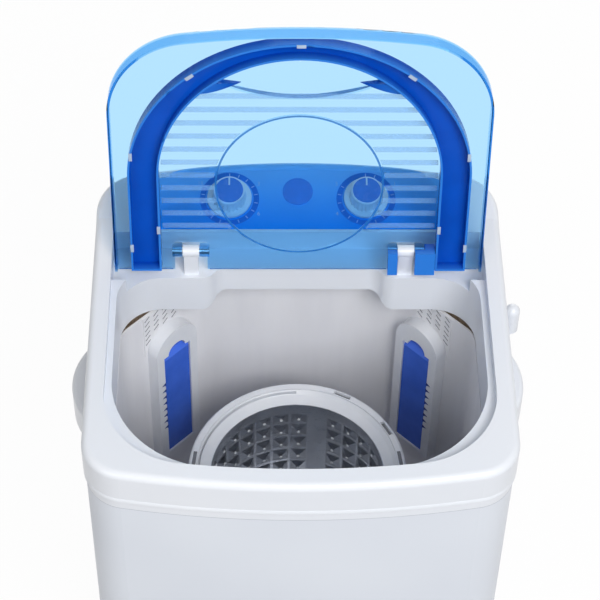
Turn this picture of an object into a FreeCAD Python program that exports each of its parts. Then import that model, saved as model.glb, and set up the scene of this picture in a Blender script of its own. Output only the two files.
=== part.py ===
import FreeCAD, Part
import math
import os

# Semi-automatic washing machine with an open lid, in mm, front towards -Y, standing on Z = 0.

V = FreeCAD.Vector
across = V(1, 0, 0)
back_way = V(0, 1, 0)
up = V(0, 0, 1)

# Fits shared by all pieces
seat_gap = 0.3
running_gap = 0.05
cut_overrun = 1.0

# Body: outline in plan, heights and walls
body_width = 400.0
body_depth = 390.0
body_bow = 20.0
body_corner = 42.0
deck_top = 540.0
band_height = 36.0
neck_height = 17.5
neck_inset = 2.0
deck_wall = 3.0
deck_edge = 7.0
sheet = 2.5

# Base
foot_height = 8.0
foot_radius = 18.0
foot_taper = 2.0
foot_inset = 52.0
foot_stem_radius = 7.0
base_height = 32.0
base_wall = 3.0
base_floor = 3.0
base_lip = 10.0

# Lid, described shut
lid_side_margin = 21.0
lid_depth_margin = 111.0
lid_bow = 18.0
lid_corner = 80.0
lid_sheet = 2.5
lid_skirt = 18.0
lid_edge = 3.0
lid_proud = 7.0
lid_open_angle = 100.35
lid_side_gap = 3.0
lid_front_gap = 7.8
front_flange = 20.8
skirt_start = 9.0

# Raised disc, finger bulge and arch of the lid
disc_radius = 80.0
disc_place = 102.0
disc_rise = 1.2
bulge_half = 82.0
bulge_low = 80.3
bulge_tip = 60.0
bulge_high = 25.0
bulge_rise = 8.0
bulge_tip_inset = 7.0
pull_hole_radius = 3.0
pull_hole_place = 39.0
arch_centre = 120.0
arch_side_margin = 16.0
arch_front_margin = 10.0
arch_leg = 29.5
arch_crown = 16.5
arch_overrun = 5.0
arch_depth = 14.0
arch_wall = 2.0
arch_start = 9.0

# Hinge
pivot_setback = 25.7
pivot_depth = 6.0
well_clearance = 3.2
post_side = 74.0
post_width = 14.0
post_cap_width = 16.0
post_thickness = 10.0
post_knuckle = 6.0
pin_radius = 3.0
notch_half = 16.0
notch_clearance = 2.0
ear_gap = 0.5
ear_overlap = 2.0
ear_radius = 5.8
cam_outer = 10.0
cam_rear = 20.0
cam_front = 6.0
cam_depth = 19.0

# Deck opening and hanging lip
lip_ledge = 6.0
lip_wall = 3.0
lip_drop = 76.0
lip_back = 118.0
lip_corner_rise = 19.0
lip_back_corner = 42.0
lip_bay_half = 70.0
lip_bay_flare = 26.0
lip_bay_depth = 13.0
lip_bay_drop = 60.0
well_front = 135.0

# Console hump behind the hinge
console_dip = 4.0
console_angle = 15.5
console_edge = 6.0
fascia_side_margin = 37.0
fascia_front = 3.0
fascia_back = 71.0
fascia_bow = 14.0
fascia_front_corner = 8.0
fascia_back_corner = 36.0
fascia_thickness = 1.6
badge_radius = 15.0
badge_place = 45.0
badge_height = 0.8
dial_spread = 68.0
dial_place = 37.0
dial_skirt_radius = 22.0
dial_skirt_height = 3.0
dial_grip_radius = 17.0
dial_face_radius = 15.5
dial_height = 18.0
dial_flutes = 24
dial_flute_radius = 1.4
dial_lift = 0.6
pointer_half = 0.8
pointer_start = 5.4
pointer_end = 14.0
pointer_rise = 0.4
timer_size = 42.0
timer_depth = 24.0
timer_bush_radius = 6.0
timer_shaft_radius = 3.0
bush_clearance = 1.0

# Tub
tub_side_margin = 24.0
tub_front = 29.0
tub_back = 78.0
tub_flat_corner = 70.0
tub_front_corner = 76.0
tub_back_corner = 24.0
tub_wall = 3.0
tub_floor_height = 180.0
tub_floor_wall = 4.0
tub_foot_round = 25.0
flange_reach = 13.0
flange_wall = 3.0
flange_corner = 60.0
gasket_height = 4.0
gasket_inset = 1.0
splash_clearance = 3.0

# Lint filters on the flat back corners of the tub
filter_offset = 11.7
filter_half = 28.0
filter_depth = 14.0
filter_bottom = 232.0
filter_arch_drop = 60.0
board_half = 17.5
board_side_gap = 0.5
board_back = 4.0
board_thickness = 8.0
board_top_drop = 5.0
board_bevel = 7.0
finger_radius = 12.0
finger_tab_radius = 10.0
finger_tab_thickness = 3.0
tooth_count = 8
tooth_pitch = 10.3
tooth_notch = 6.0
tooth_reach = 7.0
tooth_first = 278.0
grille_thickness = 1.2
grille_left = 32.0
grille_right = 17.0
grille_clearance = 1.5
grille_columns = 3
grille_column_pitch = 12.0
grille_slot_length = 8.0
grille_slot_width = 1.3
grille_slot_pitch = 3.6
grille_slot_tilt = 35.0
grille_slot_margin = 3.0
grille_edge = 4.32

# Spin basket, on the drive axis
ring_front_margin = 13.5
ring_radius = 109.5
ring_width = 21.5
ring_top = 358.0
ring_inner_drop = 9.0
ring_skirt = 24.0
ring_wall = 2.0
ring_step = 4.0
ring_edge = 2.0
ring_flat = 7.6
ring_seat = 6.0
ring_web = 3.0
ring_groove_inset = 10.0
ring_groove_width = 2.0
ring_groove_depth = 3.5
ring_slot_inset = 5.0
ring_slot_length = 18.0
ring_slot_width = 4.0
ring_slot_angles = (27.0, 61.0, 95.0)
drum_inset = 18.0
drum_sheet = 0.8
drum_columns = 30
drum_rows = 5
drum_plain_band = 9.75
drum_seam_angle = 13.8
pyramid_height = 4.0
pyramid_margin = 1.6
basket_lift = 9.0
basket_floor_wall = 4.0
basket_floor_overhang = 1.0
basket_hole_radius = 4.0
basket_hole_circle = 60.0
basket_holes = 12
hub_wall = 6.0

# Pulsator and drive
pulsator_radius = 95.0
pulsator_lift = 4.0
pulsator_wall = 8.0
vane_count = 6
vane_height = 12.0
vane_width = 8.0
vane_start = 30.0
vane_length = 58.0
boss_radius = 20.0
boss_height = 42.0
boss_web = 9.0
screw_head_radius = 6.5
screw_head_height = 3.5
screw_recess = 5.0
screw_radius = 3.0
screw_grip = 12.0
shaft_radius = 8.0
seal_radius = 16.0
seal_flange = 20.0
seal_flange_wall = 3.0
plate_height = 76.0
plate_thickness = 3.0
plate_half = 82.0
plate_margin = 58.0
plate_post_radius = 9.0
plate_post_inset = 12.0
housing_radius = 30.0
housing_flange_radius = 46.0
housing_flange_wall = 6.0
motor_back = 100.0
motor_radius = 52.0
motor_body_height = 72.0
motor_foot = 58.0
motor_foot_wall = 4.0
bush_radius = 7.0
bush_height = 4.0
motor_shaft_radius = 5.0
pulley_clear = 10.0
pulley_width = 14.0
driven_pulley_radius = 70.0
motor_pulley_radius = 22.0
pulley_groove = 6.0
belt_width = 6.0
belt_thickness = 5.0
belt_gap = 0.3

# Small inner pieces
capacitor_radius = 20.0
capacitor_height = 60.0
capacitor_side = 80.0
capacitor_back = 110.0
clip_wall = 2.5
clip_height = 15.0
clip_lift = 18.0
switch_width = 24.0
switch_depth = 12.0
switch_height = 18.0
machine_screw_radius = 2.0
machine_screw_head = 4.0
machine_screw_head_height = 2.0
machine_screw_length = 10.0

# Drain
drain_side = 90.0
drain_back = 175.0
drain_height = 108.0
drain_radius = 10.0
drain_bore = 8.0
drain_bend = 22.0
drain_flange_radius = 18.0
drain_flange_wall = 3.0
spigot_reach = 22.0
spigot_radius = 11.0
grommet_wall = 3.0
grommet_flange = 3.0
grommet_flange_wall = 2.5

# Side grips and hose peg
grip_length = 108.0
grip_reach = 22.0
grip_height = 38.0
grip_top = 450.0
grip_wall = 3.5
grip_edge = 5.0
grip_back = 192.0
peg_back = 257.5
peg_radius = 7.5
peg_reach = 12.5
peg_top = 486.0
peg_length = 34.0
peg_plate_half = 10.0
peg_plate_wall = 3.0
peg_plate_bottom = 418.0
peg_hole_radius = 2.2
peg_hole_side = 6.0
peg_gusset = 4.5

# Back cover and cord gland
cover_side_margin = 70.0
cover_bottom = 70.0
cover_top = 330.0
cover_wall = 1.5
cover_overlap = 10.0
cover_screw_inset = 6.0
vent_count = 8
vent_length = 60.0
vent_width = 5.0
vent_pitch = 14.0
vent_spread = 45.0
gland_side = 50.0
gland_height = 60.0
gland_radius = 9.0
gland_flange = 13.0
gland_flange_reach = 6.0
gland_reach = 12.0
gland_bore = 4.0

# Worked-out places
half_width = body_width / 2
front = -body_depth / 2
rear = body_depth / 2
band_bottom = deck_top - band_height
neck_bottom = band_bottom - neck_height
wall_face = half_width - neck_inset
base_top = foot_height + base_height
lid_half = half_width - lid_side_margin
lid_length = body_depth - lid_depth_margin
lid_front = front + front_flange + lid_front_gap
lid_back = lid_front + lid_length
post_spread = lid_half - post_side
lid_top = deck_top + lid_proud
lid_inner = lid_top - lid_sheet
arch_outer_half = lid_half - arch_side_margin
arch_outer_rise = lid_length - arch_centre - arch_front_margin
arch_inner_half = arch_outer_half - arch_leg
arch_inner_rise = arch_outer_rise - arch_crown
pivot_y = lid_back - pivot_setback
pivot_z = lid_top - pivot_depth
hinge_reach = math.hypot(pivot_setback, pivot_depth)
well_floor = pivot_z - hinge_reach - well_clearance
well_back = pivot_y + hinge_reach + well_clearance
well_front_y = rear - well_front
recess_half = lid_half + lid_side_gap
recess_front = front + front_flange
recess_corner = lid_corner + lid_side_gap
ledge = lid_top - lid_skirt - seat_gap
lip_half = recess_half - lip_ledge
lip_front = recess_front + lip_ledge
lip_corner = recess_corner + lip_corner_rise
lip_back_y = rear - lip_back
lip_bottom = deck_top - lip_drop
console_front_z = deck_top - console_dip
slope = math.radians(console_angle)
fascia_half = half_width - fascia_side_margin
tub_front_y = front + tub_front
tub_back_y = rear - tub_back
tub_half = half_width - tub_side_margin
rim = lip_bottom - gasket_height
filter_arch = rim - filter_arch_drop
board_top = filter_arch - board_top_drop
flange_half = tub_half + flange_reach
axis_y = tub_front_y + ring_radius + ring_front_margin
pulsator_bottom = tub_floor_height + pulsator_lift
boss_top = pulsator_bottom + boss_height
shaft_top = boss_top - screw_recess - boss_web - running_gap
vane_top = pulsator_bottom + pulsator_wall + vane_height
hub_roof = boss_top + seat_gap
basket_floor = vane_top + basket_lift
drum_bottom = basket_floor + basket_floor_wall
ring_inner = ring_radius - ring_width
ring_groove = ring_radius - ring_groove_inset
ring_slot_radius = ring_radius - ring_slot_inset
drum_radius = ring_radius - drum_inset
ring_under = ring_top - ring_inner_drop - ring_wall - ring_web
drum_top = ring_under
drum_row_height = (drum_top - drum_bottom - 2 * drum_plain_band) / drum_rows
tub_under = tub_floor_height - tub_floor_wall
plate_top = plate_height + plate_thickness
motor_y = rear - motor_back
pulley_top = plate_height - pulley_clear
pulley_bottom = pulley_top - pulley_width
belt_bottom = (pulley_top + pulley_bottom - belt_width) / 2
motor_foot_bottom = plate_top + bush_height
plate_front = axis_y - plate_margin
plate_back = motor_y + plate_margin
grip_y = front + grip_back
peg_y = front + peg_back
capacitor_place = (capacitor_side - half_width, rear - capacitor_back)
drain_place = (half_width - drain_side, rear - drain_back)
cover_half = half_width - cover_side_margin
gland_place = gland_side - half_width


# A block between two corners
def block(x0, x1, y0, y1, z0, z1):
    return Part.makeBox(x1 - x0, y1 - y0, z1 - z0, V(x0, y0, z0))


# An upright cylinder between two heights
def post(x, y, radius, z0, z1):
    return Part.makeCylinder(radius, z1 - z0, V(x, y, z0))


# An upright tube between two heights
def tube(x, y, radius, bore, z0, z1):
    return post(x, y, radius, z0, z1).cut(post(x, y, bore, z0, z1))


# A cylinder lying along X
def axle(x0, x1, y, z, radius):
    return Part.makeCylinder(radius, x1 - x0, V(x0, y, z), across)


# A closed face through corner points
def face_of(points):
    return Part.Face(Part.makePolygon(points + points[:1]))


# A profile in the YZ plane, drawn out along X
def along_x(profile, x0, x1):
    return face_of([V(x0, y, z) for y, z in profile]).extrude(across * (x1 - x0))


# A face with straight sides and rounded corners, at one height
def rounded_face(corners, radii, z):
    arcs = []
    for i, radius in enumerate(radii):
        corner = V(corners[i][0], corners[i][1], z)
        before = V(corners[i - 1][0], corners[i - 1][1], z) - corner
        after = V(corners[(i + 1) % len(corners)][0], corners[(i + 1) % len(corners)][1], z) - corner
        before.normalize()
        after.normalize()
        half = before.getAngle(after) / 2
        inward = (before + after).normalize()
        middle = corner + inward * (radius / math.sin(half) - radius)
        reach = radius / math.tan(half)
        arcs.append((corner + before * reach, middle, corner + after * reach))
    edges = []
    for i, (start, middle, end) in enumerate(arcs):
        edges.append(Part.Arc(start, middle, end).toShape())
        edges.append(Part.makeLine(end, arcs[(i + 1) % len(arcs)][0]))
    return Part.Face(Part.Wire(edges))


# A prism over a rounded outline
def rounded_prism(corners, radii, z0, z1):
    return rounded_face(corners, radii, z0).extrude(up * (z1 - z0))


# The right-hand corner between a bulging edge and a straight side: its start, middle and end
def corner_points(half, y, bow, radius, inward):
    if not radius:
        return [V(half, y + inward * bow, 0)] * 3
    if bow:
        sweep = (half * half + bow * bow) / (2 * bow)
        hub = V(0, y + inward * sweep, 0)
        drop = math.sqrt((sweep - radius) ** 2 - (half - radius) ** 2)
        centre = V(half - radius, hub.y - inward * drop, 0)
        start = hub + V(centre.x, centre.y - hub.y, 0).normalize() * sweep
    else:
        centre = V(half - radius, y + inward * radius, 0)
        start = V(half - radius, y, 0)
    end = V(half, centre.y, 0)
    middle = centre + (start + end - centre * 2).normalize() * radius
    return [start, middle, end]


def mirrored_point(point):
    return V(-point.x, point.y, point.z)


# A four-sided prism with a bulging front and back, rounded upright edges and perhaps a bay in its back
def bowed_prism(half, y0, y1, bow0, bow1, radius0, radius1, z0, z1, bay=None):
    near = corner_points(half, y0, bow0, radius0, 1)
    far = corner_points(half, y1, bow1, radius1, -1)
    edges = []
    if bow0:
        edges.append(Part.Arc(mirrored_point(near[0]), V(0, y0, 0), near[0]).toShape())
    else:
        edges.append(Part.makeLine(mirrored_point(near[0]), near[0]))
    edges += corner_edges(near, radius0)
    edges.append(Part.makeLine(near[2], far[2]))
    edges += corner_edges(far[::-1], radius1)
    if bay:
        foot, inner, depth = bay
        start, end = V(foot, y1, 0), V(inner, y1 + depth, 0)
        edges.append(Part.makeLine(far[0], start))
        edges += s_curve(start, end)
        edges.append(Part.makeLine(end, mirrored_point(end)))
        edges += s_curve(mirrored_point(end), mirrored_point(start))
        edges.append(Part.makeLine(mirrored_point(start), mirrored_point(far[0])))
    elif bow1:
        edges.append(Part.Arc(far[0], V(0, y1, 0), mirrored_point(far[0])).toShape())
    else:
        edges.append(Part.makeLine(far[0], mirrored_point(far[0])))
    edges += corner_edges([mirrored_point(p) for p in far], radius1)
    edges.append(Part.makeLine(mirrored_point(far[2]), mirrored_point(near[2])))
    edges += corner_edges([mirrored_point(p) for p in near[::-1]], radius0)
    return Part.Face(Part.Wire(edges)).extrude(up * (z1 - z0)).translate(V(0, 0, z0))


def corner_edges(points, radius):
    return [Part.Arc(*points).toShape()] if radius else []


# Two arcs that leave and arrive along X
def s_curve(start, end):
    move = end - start
    rise = V(0, move.y, move.z)
    turn = 2 * math.atan2(rise.Length, abs(move.x))
    radius = abs(move.x) / 2 / math.sin(turn)
    shift = V(math.copysign(radius * math.sin(turn / 2), move.x), 0, 0)
    shift = shift + rise.normalize() * (radius * (1 - math.cos(turn / 2)))
    middle = (start + end) * 0.5
    return [Part.Arc(start, start + shift, middle).toShape(),
            Part.Arc(middle, end - shift, end).toShape()]


# The body's own outline, set in by a distance
def body_prism(inset, z0, z1):
    corner = body_corner - inset
    return bowed_prism(half_width - inset, front + inset, rear - inset, body_bow, body_bow,
                       corner, corner, z0, z1)


# Edges that lie in one level plane
def level_edges(solid, z):
    return [edge for edge in solid.Edges if all(abs(v.Point.z - z) < 0.001 for v in edge.Vertexes)]


# The same solid on both sides of the machine
def mirrored(shape):
    return shape.mirror(V(0, 0, 0), across)


# A point of the console slope: across, up the slope and out of it
def slope_point(x, along, out):
    y = well_back + along * math.cos(slope) - out * math.sin(slope)
    return V(x, y, console_front_z + along * math.sin(slope) + out * math.cos(slope))


# A solid drawn flat, with its front edge on Y = 0, laid on the console slope
def on_slope(shape):
    shape.rotate(V(0, 0, 0), across, console_angle)
    shape.translate(slope_point(0, 0, 0))
    return shape


# Outlines that several pieces share
def tub_outline(grow):
    half = tub_half + grow
    near = tub_front_y - grow
    far = tub_back_y + grow
    cut = tub_flat_corner - grow * (2 - math.sqrt(2))
    corners = [(-half, near), (half, near), (half, far - cut), (half - cut, far),
               (cut - half, far), (-half, far - cut)]
    big = tub_front_corner + grow
    small = tub_back_corner + grow
    return corners, [big, big, small, small, small, small]


def lip_prism(grow, z0, z1):
    bay = (lip_bay_half + lip_bay_flare, lip_bay_half, lip_bay_depth)
    return bowed_prism(lip_half + grow, lip_front - grow, lip_back_y + grow, lid_bow, 0,
                       lip_corner + grow, lip_back_corner + grow, z0, z1, bay)


def recess_prism(grow, z0, z1):
    return bowed_prism(recess_half + grow, recess_front - grow, well_front_y + grow, lid_bow, 0,
                       recess_corner + grow, 0, z0, z1)


# Cabinet: one sheet shell with a service window and the drain and cord holes
def make_cabinet():
    shell = body_prism(neck_inset, base_top, neck_bottom)
    shell = shell.cut(body_prism(neck_inset + sheet, base_top, neck_bottom))
    window = block(-cover_half + cover_overlap, cover_half - cover_overlap, 0, rear,
                   cover_bottom + cover_overlap, cover_top - cover_overlap)
    drain_hole = axle(0, half_width, drain_place[1], drain_height, drain_radius + grommet_wall)
    cord_hole = Part.makeCylinder(gland_radius + running_gap, rear, V(gland_place, 0, gland_height),
                                  back_way)
    screw_holes = cover_screws(machine_screw_radius + running_gap, 0)
    return shell.cut([window, drain_hole, cord_hole] + screw_holes)


# Cover screw shanks, or their holes
def cover_screws(radius, start):
    shanks = []
    for side in (-1, 1):
        low, high = cover_bottom + cover_screw_inset, cover_top - cover_screw_inset
        for z in (low, (low + high) / 2, high):
            place = V(side * (cover_half - cover_screw_inset), start, z)
            shanks.append(Part.makeCylinder(radius, rear - start, place, back_way))
    return shanks


def make_back_cover():
    plate = body_prism(neck_inset - cover_wall, cover_bottom, cover_top)
    plate = plate.cut(body_prism(neck_inset, cover_bottom, cover_top))
    plate = plate.common(block(-cover_half, cover_half, 0, rear, cover_bottom, cover_top))
    slots = []
    first = (cover_bottom + cover_top - (vent_count - 1) * vent_pitch) / 2
    for side in (-1, 1):
        for i in range(vent_count):
            z = first + i * vent_pitch
            x = side * vent_spread
            slots.append(block(x - vent_length / 2, x + vent_length / 2, 0, rear, z, z + vent_width))
    return plate.cut(slots + cover_screws(machine_screw_radius + running_gap, 0))


def make_back_cover_screws():
    outside = body_prism(neck_inset - cover_wall, base_top, neck_bottom)
    side_drop = body_bow * ((cover_half - cover_screw_inset) / half_width) ** 2
    surface = rear - neck_inset + cover_wall - side_drop
    heads = cover_screws(machine_screw_head, surface - machine_screw_head_height)
    shanks = cover_screws(machine_screw_radius, surface - machine_screw_length)
    end = block(-half_width, half_width, surface + machine_screw_head_height, rear + body_bow,
                cover_bottom, cover_top)
    screws = [shank.fuse(head.cut(outside)).cut(end) for shank, head in zip(shanks, heads)]
    return Part.makeCompound(screws)


def make_cord_gland():
    drop = body_bow * (gland_place / half_width) ** 2
    surface = rear - neck_inset - drop
    barrel = Part.makeCylinder(gland_radius, sheet + 2 * gland_reach,
                               V(gland_place, surface - sheet - gland_reach, gland_height), back_way)
    flange = Part.makeCylinder(gland_flange, 2 * gland_flange_reach,
                               V(gland_place, surface - gland_flange_reach, gland_height), back_way)
    flange = flange.cut(body_prism(neck_inset, foot_height, deck_top))
    bore = Part.makeCylinder(gland_bore, rear + gland_reach, V(gland_place, 0, gland_height), back_way)
    return barrel.fuse(flange).cut(bore)


# Base: shallow tray that the cabinet stands on, with posts for the drive plate
def plate_post_places():
    x = plate_half - plate_post_inset
    near, far = plate_front + plate_post_inset, plate_back - plate_post_inset
    return [(side * x, y) for side in (-1, 1) for y in (near, far)]


def foot_places():
    x = half_width - foot_inset
    y = rear - foot_inset - body_bow / 2
    return [(sx * x, sy * y) for sx in (-1, 1) for sy in (-1, 1)]


def make_base_tray():
    tray = body_prism(neck_inset, foot_height, base_top)
    tray = tray.cut(body_prism(neck_inset + sheet + base_wall, foot_height + base_floor, base_top))
    lip = body_prism(neck_inset + sheet + seat_gap, base_top, base_top + base_lip)
    tray = tray.fuse(lip.cut(body_prism(neck_inset + sheet + base_wall, base_top, base_top + base_lip)))
    for x, y in plate_post_places():
        tray = tray.fuse(post(x, y, plate_post_radius, foot_height, plate_height))
    holes = [post(x, y, machine_screw_radius + running_gap, plate_height - machine_screw_length,
                  plate_height) for x, y in plate_post_places()]
    holes += [post(x, y, foot_stem_radius + running_gap, 0, foot_height + base_floor)
              for x, y in foot_places()]
    return tray.cut(holes)


def make_base_feet():
    feet = []
    for x, y in foot_places():
        pad = Part.makeCone(foot_radius - foot_taper, foot_radius, foot_height, V(x, y, 0))
        feet.append(pad.fuse(post(x, y, foot_stem_radius, 0, foot_height + base_floor)))
    return Part.makeCompound(feet)


# Top deck: moulded shell with the lid's stepped seat, hinge well, hanging lip and console
def console_solid(inset, drop):
    y0 = well_back + inset
    y1 = rear + body_bow
    z0 = console_front_z + inset * math.tan(slope) - drop
    z1 = console_front_z + (y1 - well_back) * math.tan(slope) - drop
    wedge = along_x([(y0, neck_bottom), (y1, neck_bottom), (y1, z1), (y0, z0)], -half_width, half_width)
    return wedge.common(body_prism(inset, neck_bottom, deck_top + body_depth))


def on_console_slope(edge):
    rise = [v.Point.z - console_front_z - (v.Point.y - well_back) * math.tan(slope)
            for v in edge.Vertexes]
    front_edge = all(abs(v.Point.y - well_back) < 0.001 for v in edge.Vertexes)
    return all(abs(r) < 0.001 for r in rise) and not front_edge


# The lip's lower edge rises in an S at both ends of the bay
def bay_cut():
    y = lip_back_y - lip_wall
    high = deck_top - lip_bay_drop
    foot = lip_bay_half + lip_bay_flare
    right = s_curve(V(foot, y, lip_bottom), V(lip_bay_half, y, high))
    left = s_curve(V(-lip_bay_half, y, high), V(-foot, y, lip_bottom))
    top = Part.makeLine(V(lip_bay_half, y, high), V(-lip_bay_half, y, high))
    bottom = Part.makeLine(V(-foot, y, lip_bottom), V(foot, y, lip_bottom))
    face = Part.Face(Part.Wire(right + [top] + left + [bottom]))
    return face.extrude(back_way * (lip_bay_depth + 3 * lip_wall))


def make_top_deck():
    band = body_prism(0, band_bottom, deck_top)
    band = band.makeFillet(deck_edge, level_edges(band, deck_top))
    console = console_solid(0, 0)
    console = console.makeFillet(console_edge, [edge for edge in console.Edges if on_console_slope(edge)])
    console = console.cut(body_prism(-cut_overrun, neck_bottom - cut_overrun, band_bottom))
    neck = body_prism(neck_inset, neck_bottom, band_bottom)
    skin = deck_wall / math.cos(slope)
    room = body_prism(neck_inset + deck_wall, neck_bottom, deck_top - deck_wall)
    room = room.cut(block(-body_width, body_width, well_back, rear, neck_bottom, deck_top))
    console_room = console_solid(neck_inset + deck_wall, skin)
    deck = band.fuse([neck, console]).cut([room, console_room])
    # Walls of the seat, the well and the lip, then the hollows in them
    seat = recess_prism(deck_wall, ledge - deck_wall, deck_top - deck_wall / 2)
    well = block(-recess_half - deck_wall, recess_half + deck_wall, well_front_y - deck_wall,
                 well_back + deck_wall, well_floor - deck_wall, deck_top - console_dip - deck_wall)
    hollow = recess_prism(0, ledge, deck_top + body_depth)
    well_hollow = block(-recess_half, recess_half, well_front_y, well_back, well_floor,
                        deck_top + body_depth)
    shelf = along_x([(well_back, console_front_z), (well_back + console_dip / math.tan(slope), deck_top),
                     (well_back, deck_top)], -recess_half, recess_half)
    lip = lip_prism(lip_wall, lip_bottom, ledge - deck_wall / 2)
    lip = lip.cut(block(-recess_half, recess_half, well_front_y, well_back,
                        well_floor - deck_wall / 2, deck_top))
    mouth = lip_prism(0, lip_bottom - cut_overrun, deck_top + cut_overrun)
    deck = deck.fuse([seat, well, lip])
    pocket = on_slope(fascia_prism(0, cut_overrun).translate(V(0, 0, -fascia_thickness)))
    bush_holes = [dial_cylinder(side, timer_bush_radius + running_gap, -2 * deck_wall, deck_wall)
                  for side in (-1, 1)]
    return deck.cut([hollow, well_hollow, shelf, mouth, bay_cut(), pocket] + bush_holes).removeSplitter()


# Control panel, bare badge, dials and timers on the console slope
def fascia_prism(inset, extra):
    return bowed_prism(fascia_half - inset, fascia_front + inset, fascia_back - inset, 0, fascia_bow,
                       fascia_front_corner - inset, fascia_back_corner - inset, 0, fascia_thickness + extra)


def dial_cylinder(side, radius, out0, out1):
    return Part.makeCylinder(radius, out1 - out0, slope_point(side * dial_spread, dial_place, out0),
                             slope_point(0, 0, 1) - slope_point(0, 0, 0))


def make_control_panel():
    plate = on_slope(fascia_prism(seat_gap, 0).translate(V(0, 0, -fascia_thickness)))
    holes = [dial_cylinder(side, timer_bush_radius + running_gap, -deck_wall, deck_wall)
             for side in (-1, 1)]
    return plate.cut(holes)


def make_panel_badge():
    return on_slope(post(0, badge_place, badge_radius, 0, badge_height))


def make_knob(side):
    skirt = post(0, 0, dial_skirt_radius, 0, dial_skirt_height)
    grip = Part.makeCone(dial_grip_radius, dial_face_radius, dial_height - dial_skirt_height,
                         V(0, 0, dial_skirt_height))
    top = level_edges(grip, dial_height)
    grip = grip.makeFillet(1.0, top)
    flutes = []
    for i in range(dial_flutes):
        angle = math.tau * (i + 0.5) / dial_flutes
        x = dial_grip_radius * math.cos(angle)
        y = dial_grip_radius * math.sin(angle)
        flutes.append(post(x, y, dial_flute_radius, dial_skirt_height, dial_height - dial_skirt_height))
    pointer = block(-pointer_half, pointer_half, pointer_start, pointer_end, dial_height,
                    dial_height + pointer_rise)
    bush = post(0, 0, timer_bush_radius + bush_clearance, 0, dial_skirt_height)
    bore = post(0, 0, timer_shaft_radius + running_gap, 0, dial_height - dial_skirt_height)
    knob = skirt.fuse(grip).cut(flutes).fuse(pointer).cut([bush, bore])
    return on_slope(knob.translate(V(side * dial_spread, dial_place, dial_lift)))


def make_timer(side):
    half = timer_size / 2
    top = -deck_wall
    case = block(-half, half, -half, half, top - timer_depth, top)
    bush = post(0, 0, timer_bush_radius, top, dial_lift + dial_skirt_height / 2)
    bore = post(0, 0, timer_shaft_radius + running_gap, top - timer_depth / 2, deck_wall * 2)
    timer = case.fuse(bush).cut(bore)
    return on_slope(timer.translate(V(side * dial_spread, dial_place, 0)))


def make_timer_shaft(side):
    top = dial_lift + dial_height - dial_skirt_height - seat_gap
    return dial_cylinder(side, timer_shaft_radius, seat_gap - deck_wall - timer_depth / 2, top)


def make_lid_switch():
    x = post_spread + notch_half + cam_outer / 2
    y = well_back + neck_inset + deck_wall
    z = well_floor
    return block(x - switch_width / 2, x + switch_width / 2, y, y + switch_depth, z, z + switch_height)


# Lid, drawn shut and swung open about the hinge
def opened(shape):
    shape.rotate(V(0, pivot_y, pivot_z), across, -lid_open_angle)
    return shape


def lid_prism(inset, extra_back, z0, z1):
    back_radius = 0 if extra_back else lid_edge
    return bowed_prism(lid_half - inset, lid_front + inset, lid_back + extra_back, lid_bow, 0,
                       lid_corner - inset, back_radius, z0, z1)


# A face between two arcs that meet in tips, measured from the lid's back edge
def bulge_prism(inset, tip_inset, z0, z1):
    left = V(tip_inset - bulge_half, lid_front + bulge_tip, z0)
    right = V(bulge_half - tip_inset, lid_front + bulge_tip, z0)
    near = Part.Arc(left, V(0, lid_front + bulge_low - inset, z0), right).toShape()
    far = Part.Arc(right, V(0, lid_front + bulge_high + inset, z0), left).toShape()
    return Part.Face(Part.Wire([near, far])).extrude(up * (z1 - z0))


def make_lid_panel():
    lid = lid_prism(0, 0, lid_top - lid_skirt, lid_top)
    lid = lid.makeFillet(lid_edge, [e for e in level_edges(lid, lid_top)
                                    if not all(abs(v.Point.y - lid_back) < 0.001 for v in e.Vertexes)])
    lid = lid.cut(lid_prism(lid_sheet, lid_skirt, lid_top - lid_skirt, lid_inner))
    lid = lid.cut(block(-lid_half, lid_half, lid_back - skirt_start, lid_back, lid_top - lid_skirt,
                        lid_inner))
    disc_y = lid_back - disc_place
    lid = lid.fuse([post(0, disc_y, disc_radius, lid_inner, lid_top + disc_rise),
                    bulge_prism(0, 0, lid_inner, lid_top + bulge_rise)])
    hollows = [post(0, disc_y, disc_radius - disc_rise, lid_inner, lid_inner + disc_rise),
               bulge_prism(lid_sheet, bulge_tip_inset, lid_inner, lid_inner + bulge_rise),
               post(0, lid_front + pull_hole_place, pull_hole_radius, lid_inner, lid_top + 2 * bulge_rise)]
    notch_back = pivot_setback + post_knuckle + notch_clearance
    ears = []
    for side in (-1, 1):
        x = side * post_spread
        hollows.append(block(x - notch_half, x + notch_half, lid_back - notch_back, lid_back,
                             lid_inner, lid_top))
    lid = lid.cut(hollows)
    for x0, x1 in ear_spans():
        ears.append(axle(x0, x1, pivot_y, pivot_z, ear_radius))
        ears.append(block(x0, x1, pivot_y - ear_radius, pivot_y + ear_radius, pivot_z, lid_top))
    lid = lid.fuse(ears)
    bores = [axle(x0, x1, pivot_y, pivot_z, pin_radius + running_gap) for x0, x1 in ear_spans()]
    return opened(lid.cut(bores))


# Where the four ears of the lid lie along the hinge
def ear_spans():
    near = post_cap_width / 2 + ear_gap
    far = notch_half + ear_overlap
    return [(side * post_spread + a, side * post_spread + b)
            for side in (-1, 1) for a, b in ((-far, -near), (near, far))]


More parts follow.
